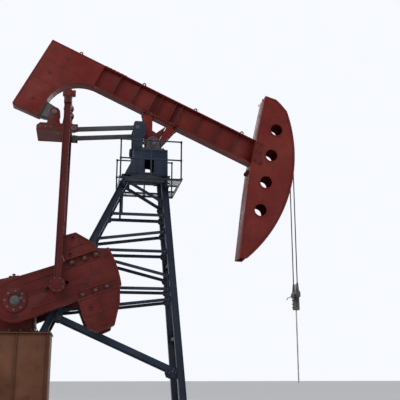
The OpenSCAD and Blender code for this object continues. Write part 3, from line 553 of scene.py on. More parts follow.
def add_bar(bm, p, q, radius, sides=24, edge=0.003, end_radius=None, matrix=None):
    """A round bar from p to q."""
    part = bmesh.new()
    p, q = Vector(p), Vector(q)
    bmesh.ops.create_cone(part, cap_ends=True, segments=sides, radius1=radius,
                          radius2=radius if end_radius is None else end_radius, depth=(q - p).length)
    round_edges(part, [e for e in part.edges if abs(e.verts[0].co.z - e.verts[1].co.z) < 1e-6], edge)
    bmesh.ops.transform(part, matrix=Matrix.Translation((p + q) / 2) @ turned_to(q - p), verts=part.verts)
    join(bm, part, matrix)


def add_turned(bm, profile, centre, axis, steps=48, matrix=None):
    """A turned form: profile lists (radius, height along the axis), closed when it returns to its start."""
    part = bmesh.new()
    closed = profile[0] == profile[-1]
    verts = [part.verts.new((r, 0, h)) for r, h in (profile[:-1] if closed else profile)]
    edges = [part.edges.new((verts[i], verts[i + 1])) for i in range(len(verts) - 1)]
    if closed:
        edges.append(part.edges.new((verts[-1], verts[0])))
    bmesh.ops.spin(part, geom=verts + edges, cent=(0, 0, 0), axis=(0, 0, 1), dvec=(0, 0, 0), angle=math.tau,
                   steps=steps, use_merge=True, use_duplicate=False)
    bmesh.ops.remove_doubles(part, verts=part.verts, dist=1e-5)
    bmesh.ops.transform(part, matrix=Matrix.Translation(Vector(centre)) @ turned_to(axis), verts=part.verts)
    join(bm, part, matrix)


def add_ring(bm, radii, heights, centre, way, steps=40, matrix=None):
    """A ring or disc on a shaft along Y: bore, foot, outer, top radius; rise, shoulder, top height."""
    (bore, foot, outer, top), (rise, shoulder, high) = radii, heights
    line = [(bore, 0), (foot, 0), (outer, rise), (outer, shoulder), (top, high), (bore, high)]
    add_turned(bm, line + line[:1] * (bore > 0), centre, (0, way, 0), steps, matrix)


print("kit: box, plate, bar, turned form")


# %% Bolts, tubes and welds
def add_bolt(bm, spot, axis, size=0.03, stud=0.0, matrix=None):
    """A washer with a hexagon head on it; with a stud, a nut and the end of its bolt."""
    spot, axis = Vector(spot), Vector(axis).normalized()
    add_bar(bm, spot, spot + axis * size * 0.16, size * 1.05, 16, 0, matrix=matrix)
    part = bmesh.new()
    bmesh.ops.create_cone(part, cap_ends=True, segments=6, radius1=size * 0.92, radius2=size * 0.92,
                          depth=size * 0.65)
    round_edges(part, [e for e in part.edges if e.verts[0].co.z > 0 and e.verts[1].co.z > 0], size * 0.10)
    bmesh.ops.transform(part, matrix=Matrix.Translation(spot + axis * size * 0.48) @ turned_to(axis),
                        verts=part.verts)
    join(bm, part, matrix)
    if stud:
        add_bar(bm, spot + axis * size * 0.7, spot + axis * (size * 0.8 + stud), size * 0.5, 12, 0.002,
                matrix=matrix)


def add_tube(bm, points, radius, sides=12, matrix=None):
    """A round tube along a line of points, mitred at its bends."""
    part = bmesh.new()
    points = [Vector(p) for p in points]
    ring = heading = turn = None
    for i, p in enumerate(points):
        before = (p - points[i - 1]).normalized() if i else (points[1] - p).normalized()
        after = (points[i + 1] - p).normalized() if i < len(points) - 1 else before
        along = (before + after).normalized()
        verts = bmesh.ops.create_circle(part, cap_ends=False, segments=sides, radius=radius)["verts"]
        turn = (turned_to(along) if ring is None
                else heading.rotation_difference(along).to_matrix().to_4x4() @ turn)
        heading = along
        lean = max(0.35, before.dot(along))
        stretch = Matrix.Identity(4)
        if lean < 0.999:
            across = along.cross(before.cross(after).normalized()).normalized()
            stretch = Matrix.Scale(1 / lean, 4, across)
        bmesh.ops.transform(part, matrix=Matrix.Translation(p) @ stretch @ turn, verts=verts)
        edges = {e for v in verts for e in v.link_edges}
        if ring is None:
            part.faces.new(verts)
        else:
            bmesh.ops.bridge_loops(part, edges=list(ring | edges))
        ring, last = edges, verts
    part.faces.new(last)
    join(bm, part, matrix)


def add_weld(bm, p, q, radius=0.009, matrix=None):
    """A weld bead: a thin bar whose thickness ripples along its length."""
    p, q = Vector(p), Vector(q)
    part = bmesh.new()
    bmesh.ops.create_cone(part, cap_ends=True, segments=6, radius1=radius, radius2=radius,
                          depth=(q - p).length)
    long_edges = [e for e in part.edges if abs(e.verts[0].co.z - e.verts[1].co.z) > 1e-4]
    bmesh.ops.subdivide_edges(part, edges=long_edges, cuts=max(3, int((q - p).length / 0.06)),
                              use_grid_fill=False)
    for v in part.verts:
        v.co.xy = v.co.xy * (1.0 + 0.22 * math.sin(v.co.z * 95.0))
    bmesh.ops.transform(part, matrix=Matrix.Translation((p + q) / 2) @ turned_to(q - p), verts=part.verts)
    join(bm, part, matrix)


def add_bolts(bm, spots, axis, size, stud=0.0, matrix=None):
    for spot in spots:
        add_bolt(bm, spot, axis, size, stud, matrix)


def add_bolt_ring(bm, centre, way, radius, count, start, size, matrix=None):
    """Bolts in a circle round a shaft along Y."""
    x, y, z = centre
    circle = [polar(radius, start + 360 * i / count) for i in range(count)]
    add_bolts(bm, [(x + dx, y, z + dz) for dx, dz in circle], (0, way, 0), size, 0, matrix)


print("kit: bolts, tubes, welds")


# %% [markdown]
# ## Softened copies of the CAD solids
# CAD edges are perfectly sharp, and a sharp edge catches no light. Rolled beams, flame-cut plate and castings
# all have a small round there. A copy of each such solid is merged, its flat faces are joined again, and its
# edges are bevelled: a few millimetres on plate, more on castings. The copy stands for the node, which stays
# in the simulation.


# %% Softening
def soften(name, width, segments=2, keep_round=25, smooth=28):
    node = nodes[name]
    bm = bmesh.new()
    bm.from_mesh(node.data)
    bmesh.ops.remove_doubles(bm, verts=bm.verts, dist=2e-5)
    bmesh.ops.dissolve_limit(bm, angle_limit=math.radians(0.8), use_dissolve_boundaries=False, verts=bm.verts,
                             edges=bm.edges)
    sharp = [e for e in bm.edges if len(e.link_faces) == 2
             and e.calc_face_angle(0) > math.radians(keep_round)]
    round_edges(bm, sharp, width, segments)
    finish = OWN_FINISH.get(name, FINISH[SLOT[name]])
    return piece(name + "_shaped", bm, node["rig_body"], finish, SLOT[name], smooth, (name,))


SOFT = {"front_leg_near": 0.004, "front_leg_far": 0.004, "rear_leg_near": 0.004, "rear_leg_far": 0.004,
        "cross_braces": 0.003, "post_head": 0.008, "push_rod_bracket": 0.004, "gearbox_pedestal": 0.006,
        "walking_beam": 0.005, "tail_counterweight": 0.02, "saddle": 0.006, "horse_head_near_plate": 0.004,
        "horse_head_far_plate": 0.004, "horse_head_back": 0.004, "rocker_frame": 0.006, "pitman_near": 0.008,
        "pitman_far": 0.008, "crank_near": 0.018, "crank_far": 0.018, "tail_bearing": 0.008,
        "push_rods": 0.010}
for name, width in SOFT.items():
    soften(name, width)

# %% [markdown]
# ## The base, the pedestal and the tower
# The base frame is two rolled beams. Plates are welded into their sides where load comes down, anchor bolts
# hold the rails to the foundation, and the legs stand on foot plates with bolts and small triangular gussets.

# %% Base frame
RAIL_Y, RAIL_TOP = 0.77, 0.40
soften("base_skid", 0.004, 1)
bm = bmesh.new()
for side, i, face in product(SIDES, range(17), SIDES):
    x, web = -6.85 + i * 0.5, side * RAIL_Y + face * 0.012
    add_block(bm, (x, side * RAIL_Y + face * 0.056, 0.20), (0.008, 0.044, 0.18), 0.002)
    add_weld(bm, (x + 0.012, web, 0.03), (x + 0.012, web, 0.37), 0.006)
piece("base_web_plates", bm, "frame", *BROWN)

bm = bmesh.new()
for x, side in product((-6.7, 1.15), SIDES):
    add_block(bm, (x, side * 0.83, 0.026), (0.045, 0.032, 0.006), 0.002)
    add_bolt(bm, (x, side * 0.83, 0.032), UP, 0.040, 0.045)
piece("anchor_nuts", bm, "frame", *BOLTS)

# %% Pedestal and motor stand
STANDS = ((-4.95, -2.56, 0.77, 2.5, 4), (-6.70, -5.55, 0.56, 2.2, 3))
bm = bmesh.new()
for x0, x1, y1, z1, count in STANDS:
    strips = (z1 - 0.032, z1 - 0.004), (RAIL_TOP, RAIL_TOP + 0.022)
    for side in SIDES:
        for i in range(count):
            x, y = x0 + 0.06 + (x1 - x0 - 0.12) * i / (count - 1), side * (y1 + 0.003)
            add_box(bm, (x - 0.008, side * (y1 - 0.004), RAIL_TOP + 0.02),
                    (x + 0.008, side * (y1 + 0.055), z1 - 0.03), 0.002)
            add_weld(bm, (x + 0.012, y, RAIL_TOP + 0.03), (x + 0.012, y, z1 - 0.04), 0.007)
        for low, high in strips:
            add_box(bm, (x0 - 0.02, side * (y1 - 0.02), low), (x1 + 0.02, side * (y1 + 0.075), high))
    for x, (low, high) in product((x0, x1), strips):
        add_box(bm, (x - 0.03, -y1 - 0.02, low), (x + 0.03, y1 + 0.02, high))
piece("pedestal_ribs", bm, "frame", *BROWN)

bm = bmesh.new()
for x0, x1, y1, *_ in STANDS:
    for side, i in product(SIDES, range(int((x1 - x0) / 0.22))):
        add_bolt(bm, (x0 + 0.13 + i * 0.22, side * (y1 + 0.045), RAIL_TOP + 0.022), UP, 0.026, 0.012)
piece("pedestal_bolts", bm, "frame", *BOLTS)


# %% Legs' feet
def front_x(z):
    return FRONT_TOP + 0.09 * (LEG_TOP - z)


def rear_x(z):
    return REAR_TOP - 0.475 * (LEG_TOP - z)


def leg_y(z):
    return LEG_Y + (LEG_TOP - z) * math.tan(LEG_LEAN)


FRONT_TOP, REAR_TOP = 0.31, -0.685
FEET = ((front_x(0.4), leg_y(0.4), 0.425, 0.16, 0.095, 0.028, 0.020, 0.085),
        (rear_x(2.5), leg_y(2.5) - 0.015, 2.525, 0.14, 0.075, 0.026, 0.018, 0.060))
bm = bmesh.new()
for side in SIDES:
    for x, y, z, dx, dy, size, stud, reach in FEET:
        add_bolts(bm, product(about(x, dx), about(side * y, dy), (z,)), UP, size, stud)
    for x in (FRONT_TOP, REAR_TOP):
        add_bolts(bm, product(about(x, 0.14), (side * LEG_Y,), (LEG_TOP,)), DOWN, 0.024)
piece("foot_bolts", bm, "frame", *BOLTS)

bm = bmesh.new()
for side in SIDES:
    for x, y, z, dx, dy, size, stud, reach in FEET:
        for middle in about(side * y, 0.05):
            add_plate(bm, [(x + 0.075, z), (x + 0.095 + reach, z), (x + 0.075, z + 0.16)],
                      *about(middle, 0.007), 0.002)
    for x in (FRONT_TOP, REAR_TOP):
        add_box(bm, (x - 0.18, side * LEG_Y - 0.10, LEG_TOP - 0.022),
                (x + 0.18, side * LEG_Y + 0.10, LEG_TOP - 0.0005))
piece("foot_gussets", bm, "frame", *NAVY)

# %% Side braces and their bolts
SHARES = ((0.933, 0.839), (0.745, 0.745), (0.575, 0.641), (0.510, 0.510), (0.483, 0.349), (0.274, 0.274),
          (0.126, 0.214))


def up_tower(share):
    return 2.5 + share * 4.35


rows = [(up_tower(s0), up_tower(s1), 0.03, (0.05, 0.105, 0.16), (0,), 0.019, 0.006) for s0, s1 in SHARES]
rows.append((up_tower(0.106), 0.596 * 2.5, 0, (0.04, 0.12, 0.20), (-0.035, 0.035), 0.024, 0.008))
for side, word in zip(SIDES, ("near", "far")):
    soften("side_braces_" + word, 0.0025, 1)
    bm = bmesh.new()
    for z0, z1, beyond, reaches, lifts, size, stud in rows:
        ends = Vector((rear_x(z0) - beyond, 0, z0 - LEG_TOP)), Vector((front_x(z1) + beyond, 0, z1 - LEG_TOP))
        along = (ends[1] - ends[0]).normalized()
        up = Vector((-along.z, 0, along.x))
        for (end, way), reach, lift in product(zip(ends, (1, -1)), reaches, lifts):
            spot = end + along * way * reach + up * lift
            add_bolt(bm, (spot.x, side * -0.0795, spot.z), (0, side, 0), size, 0, on_side(side))
            add_bolt(bm, (spot.x, side * -0.094, spot.z), (0, -side, 0), size, stud, on_side(side))
    piece("brace_bolts_" + word, bm, "frame", *BOLTS)

# %% [markdown]
# ## The post head and the bearings
# The post head is a welded box. It carries two pillow blocks: cast housings split at the shaft, with a cap
# held by studs, a cover ring with small screws and a grease nipple. They are the strongest castings on the
# machine, so they get wide rounded edges. The lug behind the box is where a crane lifts it.


# %% Post head details
def rounded(x, z, wide, high, radius, steps=6):
    """The outline of a rectangle with round corners."""
    line = []
    for cx, cz, start in ((1, 1, 0), (-1, 1, 90), (-1, -1, 180), (1, -1, 270)):
        for i in range(steps + 1):
            dx, dz = polar(radius, start + 90 * i / steps)
            line.append((x + cx * (wide / 2 - radius) + dx, z + cz * (high / 2 - radius) + dz))
    return line


WINDOW_RIM = rounded(-0.11, 7.128, 0.344, 0.496, 0.085)
LUG = [(-0.562, 7.44), (-0.562, 7.70), (-0.585, 7.755), (-0.615, 7.76), (-0.64, 7.73), (-0.648, 7.62),
       (-0.635, 7.52), (-0.61, 7.47)]
bm = bmesh.new()
for side in SIDES:
    y0, y1 = side * 0.538, side * 0.552
    for x0, x1, z0, z1 in ((-0.48, -0.44, 6.88, 7.58), (0.31, 0.35, 6.88, 7.58), (-0.545, 0.40, 7.54, 7.585),
                           (-0.72, 0.41, 6.865, 6.91)):
        add_box(bm, (x0, y0, z0), (x1, y1, z1))
    for x0, x1, z in ((-0.78, 0.41, 6.853), (-0.555, 0.40, 7.597)):
        add_weld(bm, (x0, side * 0.540, z), (x1, side * 0.540, z), 0.008)
    add_border(bm, WINDOW_RIM, y0, y1, 0.002, 0.036)
add_plate(bm, LUG, -0.05, 0.05, 0.012)
add_box(bm, (-0.60, -0.09, 7.585), (-0.30, 0.09, 7.612), 0.004)
piece("post_head_trim", bm, "frame", *NAVY)

# %% Pivot bearings
BEARING_Y = 0.37
ARCH = [(0.21, 7.655)] + [on_arc(0.185, -8 + 14 * i) for i in range(15)] + [(-0.21, 7.655)]
COVER_RING = [(0.114, -0.002), (0.165, -0.002), (0.165, 0.012), (0.158, 0.018), (0.125, 0.020),
              (0.114, 0.014), (0.114, -0.002)]
bm = bmesh.new()
for side in SIDES:
    y = side * BEARING_Y
    add_plate(bm, ARCH, *about(y, 0.07), 0.012)
    add_block(bm, (0, y, 7.634), (0.33, 0.075, 0.034), 0.010)
    for x in (-0.235, 0.235):
        add_block(bm, (x, y, 7.73), (0.010, 0.05, 0.07))
        add_block(bm, (x, y, 7.831), (0.052, 0.05, 0.031), 0.008)
    add_block(bm, (0, y, PIVOT_Z), (0.29, 0.074, 0.004), 0.001)
    for way in SIDES:
        add_turned(bm, COVER_RING, (0, y + way * 0.07, PIVOT_Z), (0, way, 0), 48)
piece("pillow_blocks", bm, "frame", *STEEL, 34, ("pivot_bearings",))

bm = bmesh.new()
for side in SIDES:
    y = side * BEARING_Y
    add_bolts(bm, product((-0.235, 0.235), (y,), (7.862,)), UP, 0.034, 0.035)
    add_bolts(bm, product((-0.285, 0.285), about(y, 0.045), (7.668,)), UP, 0.026, 0.018)
    for way in SIDES:
        add_bolt_ring(bm, (0, y + way * 0.087, PIVOT_Z), way, 0.145, 8, 22.5, 0.012)
    add_bar(bm, (0, y, 8.03), (0, y, 8.055), 0.010, 8, 0.001)
piece("pillow_block_bolts", bm, "frame", *BOLTS)

bm = bmesh.new()
for side in SIDES:
    add_ring(bm, (0, 0.088, 0.092, 0.086), (0.004, 0.012, 0.017), (0, side * 0.465, PIVOT_Z), side)
    add_bolt_ring(bm, (0, side * 0.482, PIVOT_Z), side, 0.05, 3, 90, 0.018)
piece("shaft_end_plates", bm, "beam", *BOLTS)

# %% Push rod pins
ROD_PIN_X, ROD_PIN_Z = -2.23, 8.11
bm = bmesh.new()
for side in SIDES:
    for y, way in ((side * 0.451, side), (side * 0.300, -side)):
        add_ring(bm, (0, 0.052, 0.055, 0.050), (0.003, 0.014, 0.018), (-0.45, y, 8.27), way, 24)
        add_bar(bm, (-0.45, y + way * 0.018, 8.27), (-0.45, y + way * 0.034, 8.27), 0.022, 12)
piece("bracket_pin_heads", bm, "frame", *BOLTS)

bm = bmesh.new()
for side in SIDES:
    for way in SIDES:
        y = side * 0.376 + way * 0.045
        add_ring(bm, (0.02, 0.066, 0.070, 0.060), (0.004, 0.012, 0.016), (ROD_PIN_X, y, ROD_PIN_Z), way, 28)
        add_bolt_ring(bm, (ROD_PIN_X, y + way * 0.016, ROD_PIN_Z), way, 0.044, 4, 45, 0.010)
    add_weld(bm, (-2.14, side * 0.376 - 0.048, ROD_PIN_Z), (-2.14, side * 0.376 + 0.048, ROD_PIN_Z), 0.004)
piece("rod_pin_covers", bm, "push_rods", *STEEL)

# %% [markdown]
# ## Platform, rails and ladder
# The deck is a grating: flat bars on edge with thin cross rods, so rain and mud fall through. A solid plate
# would look wrong from below, which is where the photograph looks from. Bars are single boxes, because there
# are hundreds.

# %% Deck grating
DECK_REAR, DECK_FRONT, DECK_Y, DECK_Z = -0.96, 0.76, 1.0, 6.64
HOLE_REAR, HOLE_FRONT, HOLE_Y = -0.914, 0.46, 0.575
HATCH_FRONT, HATCH_Y = 0.705, 0.30
bm = bmesh.new()
x = DECK_REAR + 0.03
while x < DECK_FRONT - 0.01:
    gap = HOLE_Y if HOLE_REAR < x < HOLE_FRONT else HATCH_Y if HOLE_FRONT <= x < HATCH_FRONT else 0
    for side in SIDES:
        add_box(bm, (x - 0.0025, side * gap, DECK_Z - 0.034),
                (x + 0.0025, side * (DECK_Y - 0.008), DECK_Z - 0.001), 0)
    x += 0.036
y = -DECK_Y + 0.05
while y < DECK_Y:
    rear, front = DECK_REAR + 0.008, DECK_FRONT - 0.008
    past_hole = HATCH_FRONT if abs(y) < HATCH_Y else HOLE_FRONT
    for x0, x1 in ((rear, HOLE_REAR), (past_hole, front)) if abs(y) < HOLE_Y else ((rear, front),):
        add_box(bm, (x0, y - 0.004, DECK_Z - 0.008), (x1, y + 0.004, DECK_Z), 0)
    y += 0.095
piece("deck_grating", bm, "frame", deck_steel, "dark_steel")

# %% Deck frame
bm = bmesh.new()
low, high, BRACKET_Z = DECK_Z - 0.045, DECK_Z + 0.002, 6.545
for side in SIDES:
    add_box(bm, (DECK_REAR, side * DECK_Y, low), (DECK_FRONT, side * (DECK_Y - 0.008), DECK_Z + 0.004), 0.001)
    add_box(bm, (DECK_REAR, side * DECK_Y, low), (DECK_FRONT, side * (DECK_Y - 0.06), low + 0.007), 0.001)
    add_box(bm, (HOLE_REAR, side * HOLE_Y, low), (HOLE_FRONT, side * (HOLE_Y + 0.006), high), 0.001)
    add_box(bm, (HOLE_FRONT, side * HATCH_Y, low), (HOLE_FRONT + 0.006, side * HOLE_Y, high), 0.001)
    add_box(bm, (HOLE_FRONT, side * HATCH_Y, low), (HATCH_FRONT + 0.006, side * (HATCH_Y + 0.006), high),
            0.001)
    for x in (rear_x(BRACKET_Z), front_x(BRACKET_Z)):
        y0, y1 = side * (leg_y(BRACKET_Z) + 0.012), side * 0.98
        for wide, z0, z1, edge in ((0.03, 6.495, 6.503, 0.001), (0.03, 6.587, 6.595, 0.001),
                                   (0.004, 6.503, 6.587, 0)):
            add_box(bm, (x - wide, y0, z0), (x + wide, y1, z1), edge)
for x0, x1, y in ((DECK_REAR, DECK_REAR + 0.008, DECK_Y), (DECK_FRONT - 0.008, DECK_FRONT, DECK_Y),
                  (HOLE_REAR - 0.006, HOLE_REAR, HOLE_Y), (HATCH_FRONT, HATCH_FRONT + 0.006, HATCH_Y)):
    add_box(bm, (x0, -y, low), (x1, y, high), 0.001)
piece("deck_frame", bm, "frame", navy_paint, "dark_steel", 32, ("work_platform",))

# %% Rail fittings
bm = bmesh.new()
for side, x in product(SIDES, (-0.93, -0.1, 0.73)):
    y = side * 0.97
    add_box(bm, (x - 0.05, y - 0.03, 6.641), (x + 0.05, y + 0.028, 6.653), 0.002)
    for z in (7.175, 7.71):
        add_bar(bm, (x, y, z - 0.035), (x, y, z + 0.026), 0.029, 16, 0.004)
    add_bolts(bm, product(about(x, 0.036), (y,), (6.653,)), UP, 0.012)
piece("rail_fittings", bm, "frame", *NAVY)

# %% [markdown]
# ## Gearbox, motor and belt drive
# The gearbox is a casting in two halves, bolted together at the height of its shafts. Ribs stiffen its sides,
# caps with screws close its bearings, and a cover on top lets the gears be seen. The motor is ribbed to shed
# its heat. All of it is modelled as castings: thick forms with wide rounds.

# %% Gearbox ribs, caps and cover
INPUT_X, INPUT_Z = -4.45, 3.40
CAPS = ((CRANK_X, CRANK_Z, 0.142, 0.255, 0.518), (INPUT_X, INPUT_Z, 0.052, 0.135, 0.455))
soften("gearbox_case", 0.012)
bm = bmesh.new()
for side in SIDES:
    for x in (-4.66, -4.30, -3.92, -3.00):
        add_box(bm, (x - 0.014, side * 0.452, 2.545), (x + 0.014, side * 0.515, 3.222), 0.005)
    for x, z, inner, outer, y in CAPS:
        add_turned(bm, [(inner, -0.01), (outer, -0.01), (outer, 0.018), (outer - 0.012, 0.030),
                        (inner + 0.05, 0.034), (inner + 0.03, 0.046), (inner, 0.046), (inner, -0.01)],
                   (x, side * y, z), (0, side, 0), 56)
    for angle in (30, 65, 100, 135):
        turn = Matrix.Translation((CRANK_X, 0, CRANK_Z)) @ Matrix.Rotation(math.radians(-angle), 4, "Y")
        add_box(bm, (0.27, side * 0.452, -0.012), (0.69, side * 0.495, 0.012), 0.004, turn)
add_box(bm, (-4.42, -0.26, 3.70), (-4.02, 0.26, 3.80), 0.012)
add_box(bm, (-3.72, -0.28, 3.93), (-3.20, 0.28, 3.975), 0.010)
for x, side in product((-4.72, -3.06), SIDES):
    eye = [(x - 0.05, 3.27), (x + 0.05, 3.27), (x + 0.035, 3.40), (x - 0.035, 3.40)]
    add_plate(bm, eye, *about(side * 0.36, 0.014), 0.006)
piece("gearbox_ribs", bm, "frame", *DARK_RED)
soften("gearbox_cover", 0.006)

bm = bmesh.new()
for side in SIDES:
    for i in range(13):
        x = -4.72 + i * 0.14
        if abs(x - CRANK_X) > 0.27:
            add_bolt(bm, (x, side * 0.492, 3.28), UP, 0.024, 0.014)
        add_bolt(bm, (x, side * 0.492, 3.22), DOWN, 0.024)
        if i % 2 == 0:
            add_bolt(bm, (x, side * 0.525, 2.545), UP, 0.030, 0.02)
    add_bolt_ring(bm, (CRANK_X, side * 0.548, CRANK_Z), side, 0.215, 10, 18, 0.016)
    add_bolt_ring(bm, (INPUT_X, side * 0.485, INPUT_Z), side, 0.108, 6, 18, 0.012)
add_bolts(bm, product((-3.68, -3.46, -3.24), (-0.24, 0.24), (3.975,)), UP, 0.014)
add_bolts(bm, product((-2.985,), (-0.30, 0.30), (2.66,)), (1, 0, 0), 0.030)
add_turned(bm, [(0, 0), (0.022, 0), (0.022, 0.05), (0.045, 0.055), (0.045, 0.085), (0.036, 0.095),
                (0, 0.095)], (-3.62, 0, 3.972), UP, 20)
piece("gearbox_bolts", bm, "frame", *BOLTS)

# %% Motor
MOTOR_X, MOTOR_Z, FIN_COUNT = -6.13, 2.52, 28
on_motor = Matrix.Translation((MOTOR_X, 0, MOTOR_Z))
bm = bmesh.new()
add_turned(bm, [(0, -0.36), (0.20, -0.36), (0.225, -0.35), (0.235, -0.33), (0.235, 0.36), (0.225, 0.385),
                (0.12, 0.40), (0, 0.40)], (0, 0.02, 0), (0, 1, 0), 56, on_motor)
for i in range(FIN_COUNT):
    a = math.tau * i / FIN_COUNT
    if abs(math.sin(a)) < 0.93:
        add_box(bm, (0.228, -0.30, -0.004), (0.258, 0.33, 0.004), 0.0015,
                on_motor @ Matrix.Rotation(-a, 4, "Y"))
add_turned(bm, [(0, -0.435), (0.17, -0.435), (0.215, -0.42), (0.222, -0.40), (0.222, -0.34), (0.236, -0.34),
                (0.236, -0.30), (0, -0.30)], (0, 0.015, 0), (0, 1, 0), 48, on_motor)
for way in SIDES:
    add_box(bm, (way * 0.15, -0.30, -0.32), (way * 0.27, 0.34, -0.282), 0.006, on_motor)
    for y in (-0.22, 0.26):
        foot = [(way * 0.21 - 0.055, -0.285), (way * 0.21 + 0.055, -0.285), (way * 0.1302 + 0.03, -0.12),
                (way * 0.1302 - 0.03, -0.12)]
        add_plate(bm, foot, y - 0.02, y + 0.02, 0.004, on_motor)
add_box(bm, (-0.125, -0.13, 0.20), (0.125, 0.15, 0.335), 0.012, on_motor)
add_box(bm, (-0.130, -0.135, 0.335), (0.130, 0.155, 0.35), 0.004, on_motor)
for i in range(9):
    add_box(bm, (-0.13 + 0.03 * i, -0.425, -0.10), (-0.122 + 0.03 * i, -0.418, 0.10), 0, on_motor)
piece("motor_body", bm, "frame", *STEEL, 32, ("motor",))

bm = bmesh.new()
add_bolts(bm, product((-0.21, 0.21), (-0.26, 0.30), (-0.282,)), UP, 0.022, 0.02, on_motor)
add_bolts(bm, product((-0.11, 0.11), (-0.115, 0.135), (0.35,)), UP, 0.008, 0, on_motor)
add_bolt_ring(bm, (0, 0.415, 0), 1, 0.19, 8, 10, 0.012, on_motor)
add_turned(bm,
           [(0.016, -0.009), (0.022, -0.012), (0.030, -0.009), (0.033, 0), (0.030, 0.009), (0.022, 0.012),
            (0.016, 0.009),
                (0.013, 0), (0.016, -0.009)], (0, 0.22, 0.275), (1, 0, 0), 24, on_motor)
piece("motor_bolts", bm, "frame", *BOLTS)

# %% Sheaves
SHEAVE_Y, LARGE_R, SMALL_R, GROOVES = 0.62, 0.45, 0.13, 5


def sheave_profile(radius, width=0.15, rim=0.045):
    half, pitch = width / 2, (width - 0.02) / GROOVES
    line = [(radius, -half)]
    for i in range(GROOVES):
        z = -half + 0.01 + pitch * i
        line += [(radius, z + 0.003), (radius - 0.016, z + pitch * 0.38), (radius - 0.016, z + pitch * 0.62),
                 (radius, z + pitch - 0.003)]
    line += [(radius, half), (radius - rim, half), (radius - rim - 0.008, half - 0.012),
             (radius - rim - 0.008, -half + 0.012)]
    return line + [(radius - rim, -half), line[0]]


bm = bmesh.new()
on_input = Matrix.Translation((INPUT_X, 0, INPUT_Z))
add_turned(bm, sheave_profile(LARGE_R), (0, SHEAVE_Y, 0), (0, 1, 0), 72, on_input)
for y, foot, outer, wide, long, steps in ((SHEAVE_Y, 0.105, 0.112, 0.052, 0.06, 40),
                                          (-0.625, 0.19, 0.20, 0.048, 0.055, 48)):
    hub = [(0.051, -long), (foot, -long), (outer, -wide), (outer, wide), (foot, long), (0.051, long),
           (0.051, -long)]
    add_turned(bm, hub, (0, y, 0), (0, 1, 0), steps, on_input)
for i in range(5):
    turn = (on_input @ Matrix.Translation((0, SHEAVE_Y, 0))
            @ Matrix.Rotation(math.radians(72 * i + 15), 4, "Y"))
    add_plate(bm, [(0.10, -0.045), (0.402, -0.030), (0.402, 0.030), (0.10, 0.045)], -0.022, 0.022, 0.008,
              turn)
add_bar(bm, (0, -0.68, 0), (0, 0.675, 0), 0.05, 32, 0.006, matrix=on_input)
piece("large_sheave", bm, "input_rotor", *STEEL, 30, ("input_sheave",))

bm = bmesh.new()
add_turned(bm, sheave_profile(SMALL_R, rim=0.03), (0, SHEAVE_Y, 0), (0, 1, 0), 48, on_motor)
add_turned(bm, [(0.031, -0.05), (0.104, -0.05), (0.104, 0.05), (0.031, 0.05), (0.031, -0.05)],
           (0, SHEAVE_Y, 0), (0, 1, 0), 40, on_motor)
add_bar(bm, (0, -0.09, 0), (0, SHEAVE_Y + 0.06, 0), 0.03, 28, 0.004, matrix=on_motor)
piece("small_sheave", bm, "motor_rotor", *STEEL, 30, ("motor_sheave",))


# %% Belts
def belt_line(extra):
    """The outline of a belt round both sheaves, as points in X and Z."""
    large, small = LARGE_R + extra, SMALL_R + extra
    run = Vector((MOTOR_X - INPUT_X, MOTOR_Z - INPUT_Z))
    facing = math.degrees(math.atan2(run.y, run.x))
    lean = math.degrees(math.acos((large - small) / run.length))
    arcs = [(MOTOR_X, MOTOR_Z, polar(small, facing + lean * (1 - 2 * i / 20))) for i in range(21)]
    arcs += [(INPUT_X, INPUT_Z, polar(large, facing - lean - (360 - 2 * lean) * i / 40)) for i in range(41)]
    return [(x + dx, z + dz) for x, z, (dx, dz) in arcs]


def add_loop(bm, outer, inner, y0, y1):
    """A band between two closed outlines, from y0 to y1."""
    part = bmesh.new()
    rims = []
    for line in (outer, inner):
        verts = [part.verts.new((x, y0, z)) for x, z in line]
        rims += [part.edges.new((verts[i - 1], verts[i])) for i in range(len(verts))]
    bmesh.ops.bridge_loops(part, edges=rims)
    pull(part, part.faces[:], y1 - y0)
    join(bm, part)


bm = bmesh.new()
for i in range(GROOVES):
    add_loop(bm, belt_line(0.003), belt_line(-0.012), *about(SHEAVE_Y - 0.052 + 0.026 * i, 0.009))
piece("v_belts", bm, "frame", rubber, "belt_rubber", 30, ("drive_belt",))

# %% Belt guard
GUARD_Y = 0.739
bm = bmesh.new()
add_loop(bm, belt_line(0.070), belt_line(0.064), 0.526, GUARD_Y)
add_plate(bm, belt_line(0.070), 0.731, GUARD_Y, 0.002)
add_loop(bm, belt_line(0.070), belt_line(0.020), 0.526, 0.532)
for x, z0, z1, depth in ((-4.90, 2.5, 2.93, 0.60), (-5.62, 2.2, 2.56, 0.56)):
    add_box(bm, (x - 0.03, 0.526, z0), (x + 0.03, 0.534, z1), 0.002)
    add_box(bm, (x - 0.05, 0.526, z0), (x + 0.05, depth, z0 + 0.008), 0.002)
    add_box(bm, (x - 0.004, 0.534, z0 + 0.008), (x + 0.004, depth, z1), 0.001)
run = Vector((MOTOR_X - INPUT_X, MOTOR_Z - INPUT_Z))
along = run.normalized() * 0.02
for share in (0.18, 0.5, 0.82):
    middle = Vector((INPUT_X, INPUT_Z)) + run * share
    across = Vector((-run.y, run.x)).normalized() * (0.50 - 0.32 * share)
    strip = [middle + across + along, middle + across - along, middle - across - along,
             middle - across + along]
    add_plate(bm, [tuple(p) for p in strip], 0.738, 0.7425, 0.001)
piece("belt_guard_shell", bm, "frame", *NAVY, 32, ("belt_guard",))

bm = bmesh.new()
add_bolts(bm, [(x, GUARD_Y, z) for x, z in belt_line(0.045)[::4]], (0, 1, 0), 0.010)
add_bolts(bm, product((-4.92, -4.88), (0.575,), (2.508,)), UP, 0.014)
piece("belt_guard_bolts", bm, "frame", *BOLTS)

# %% [markdown]
# ## The beam, its tail and the saddle
# The beam is a rolled section with ribs welded between its flanges. Small eyes on its top are where slings
# are hooked. The tail is a closed box filled with weight, so it shows seams and edge strips, not ribs.

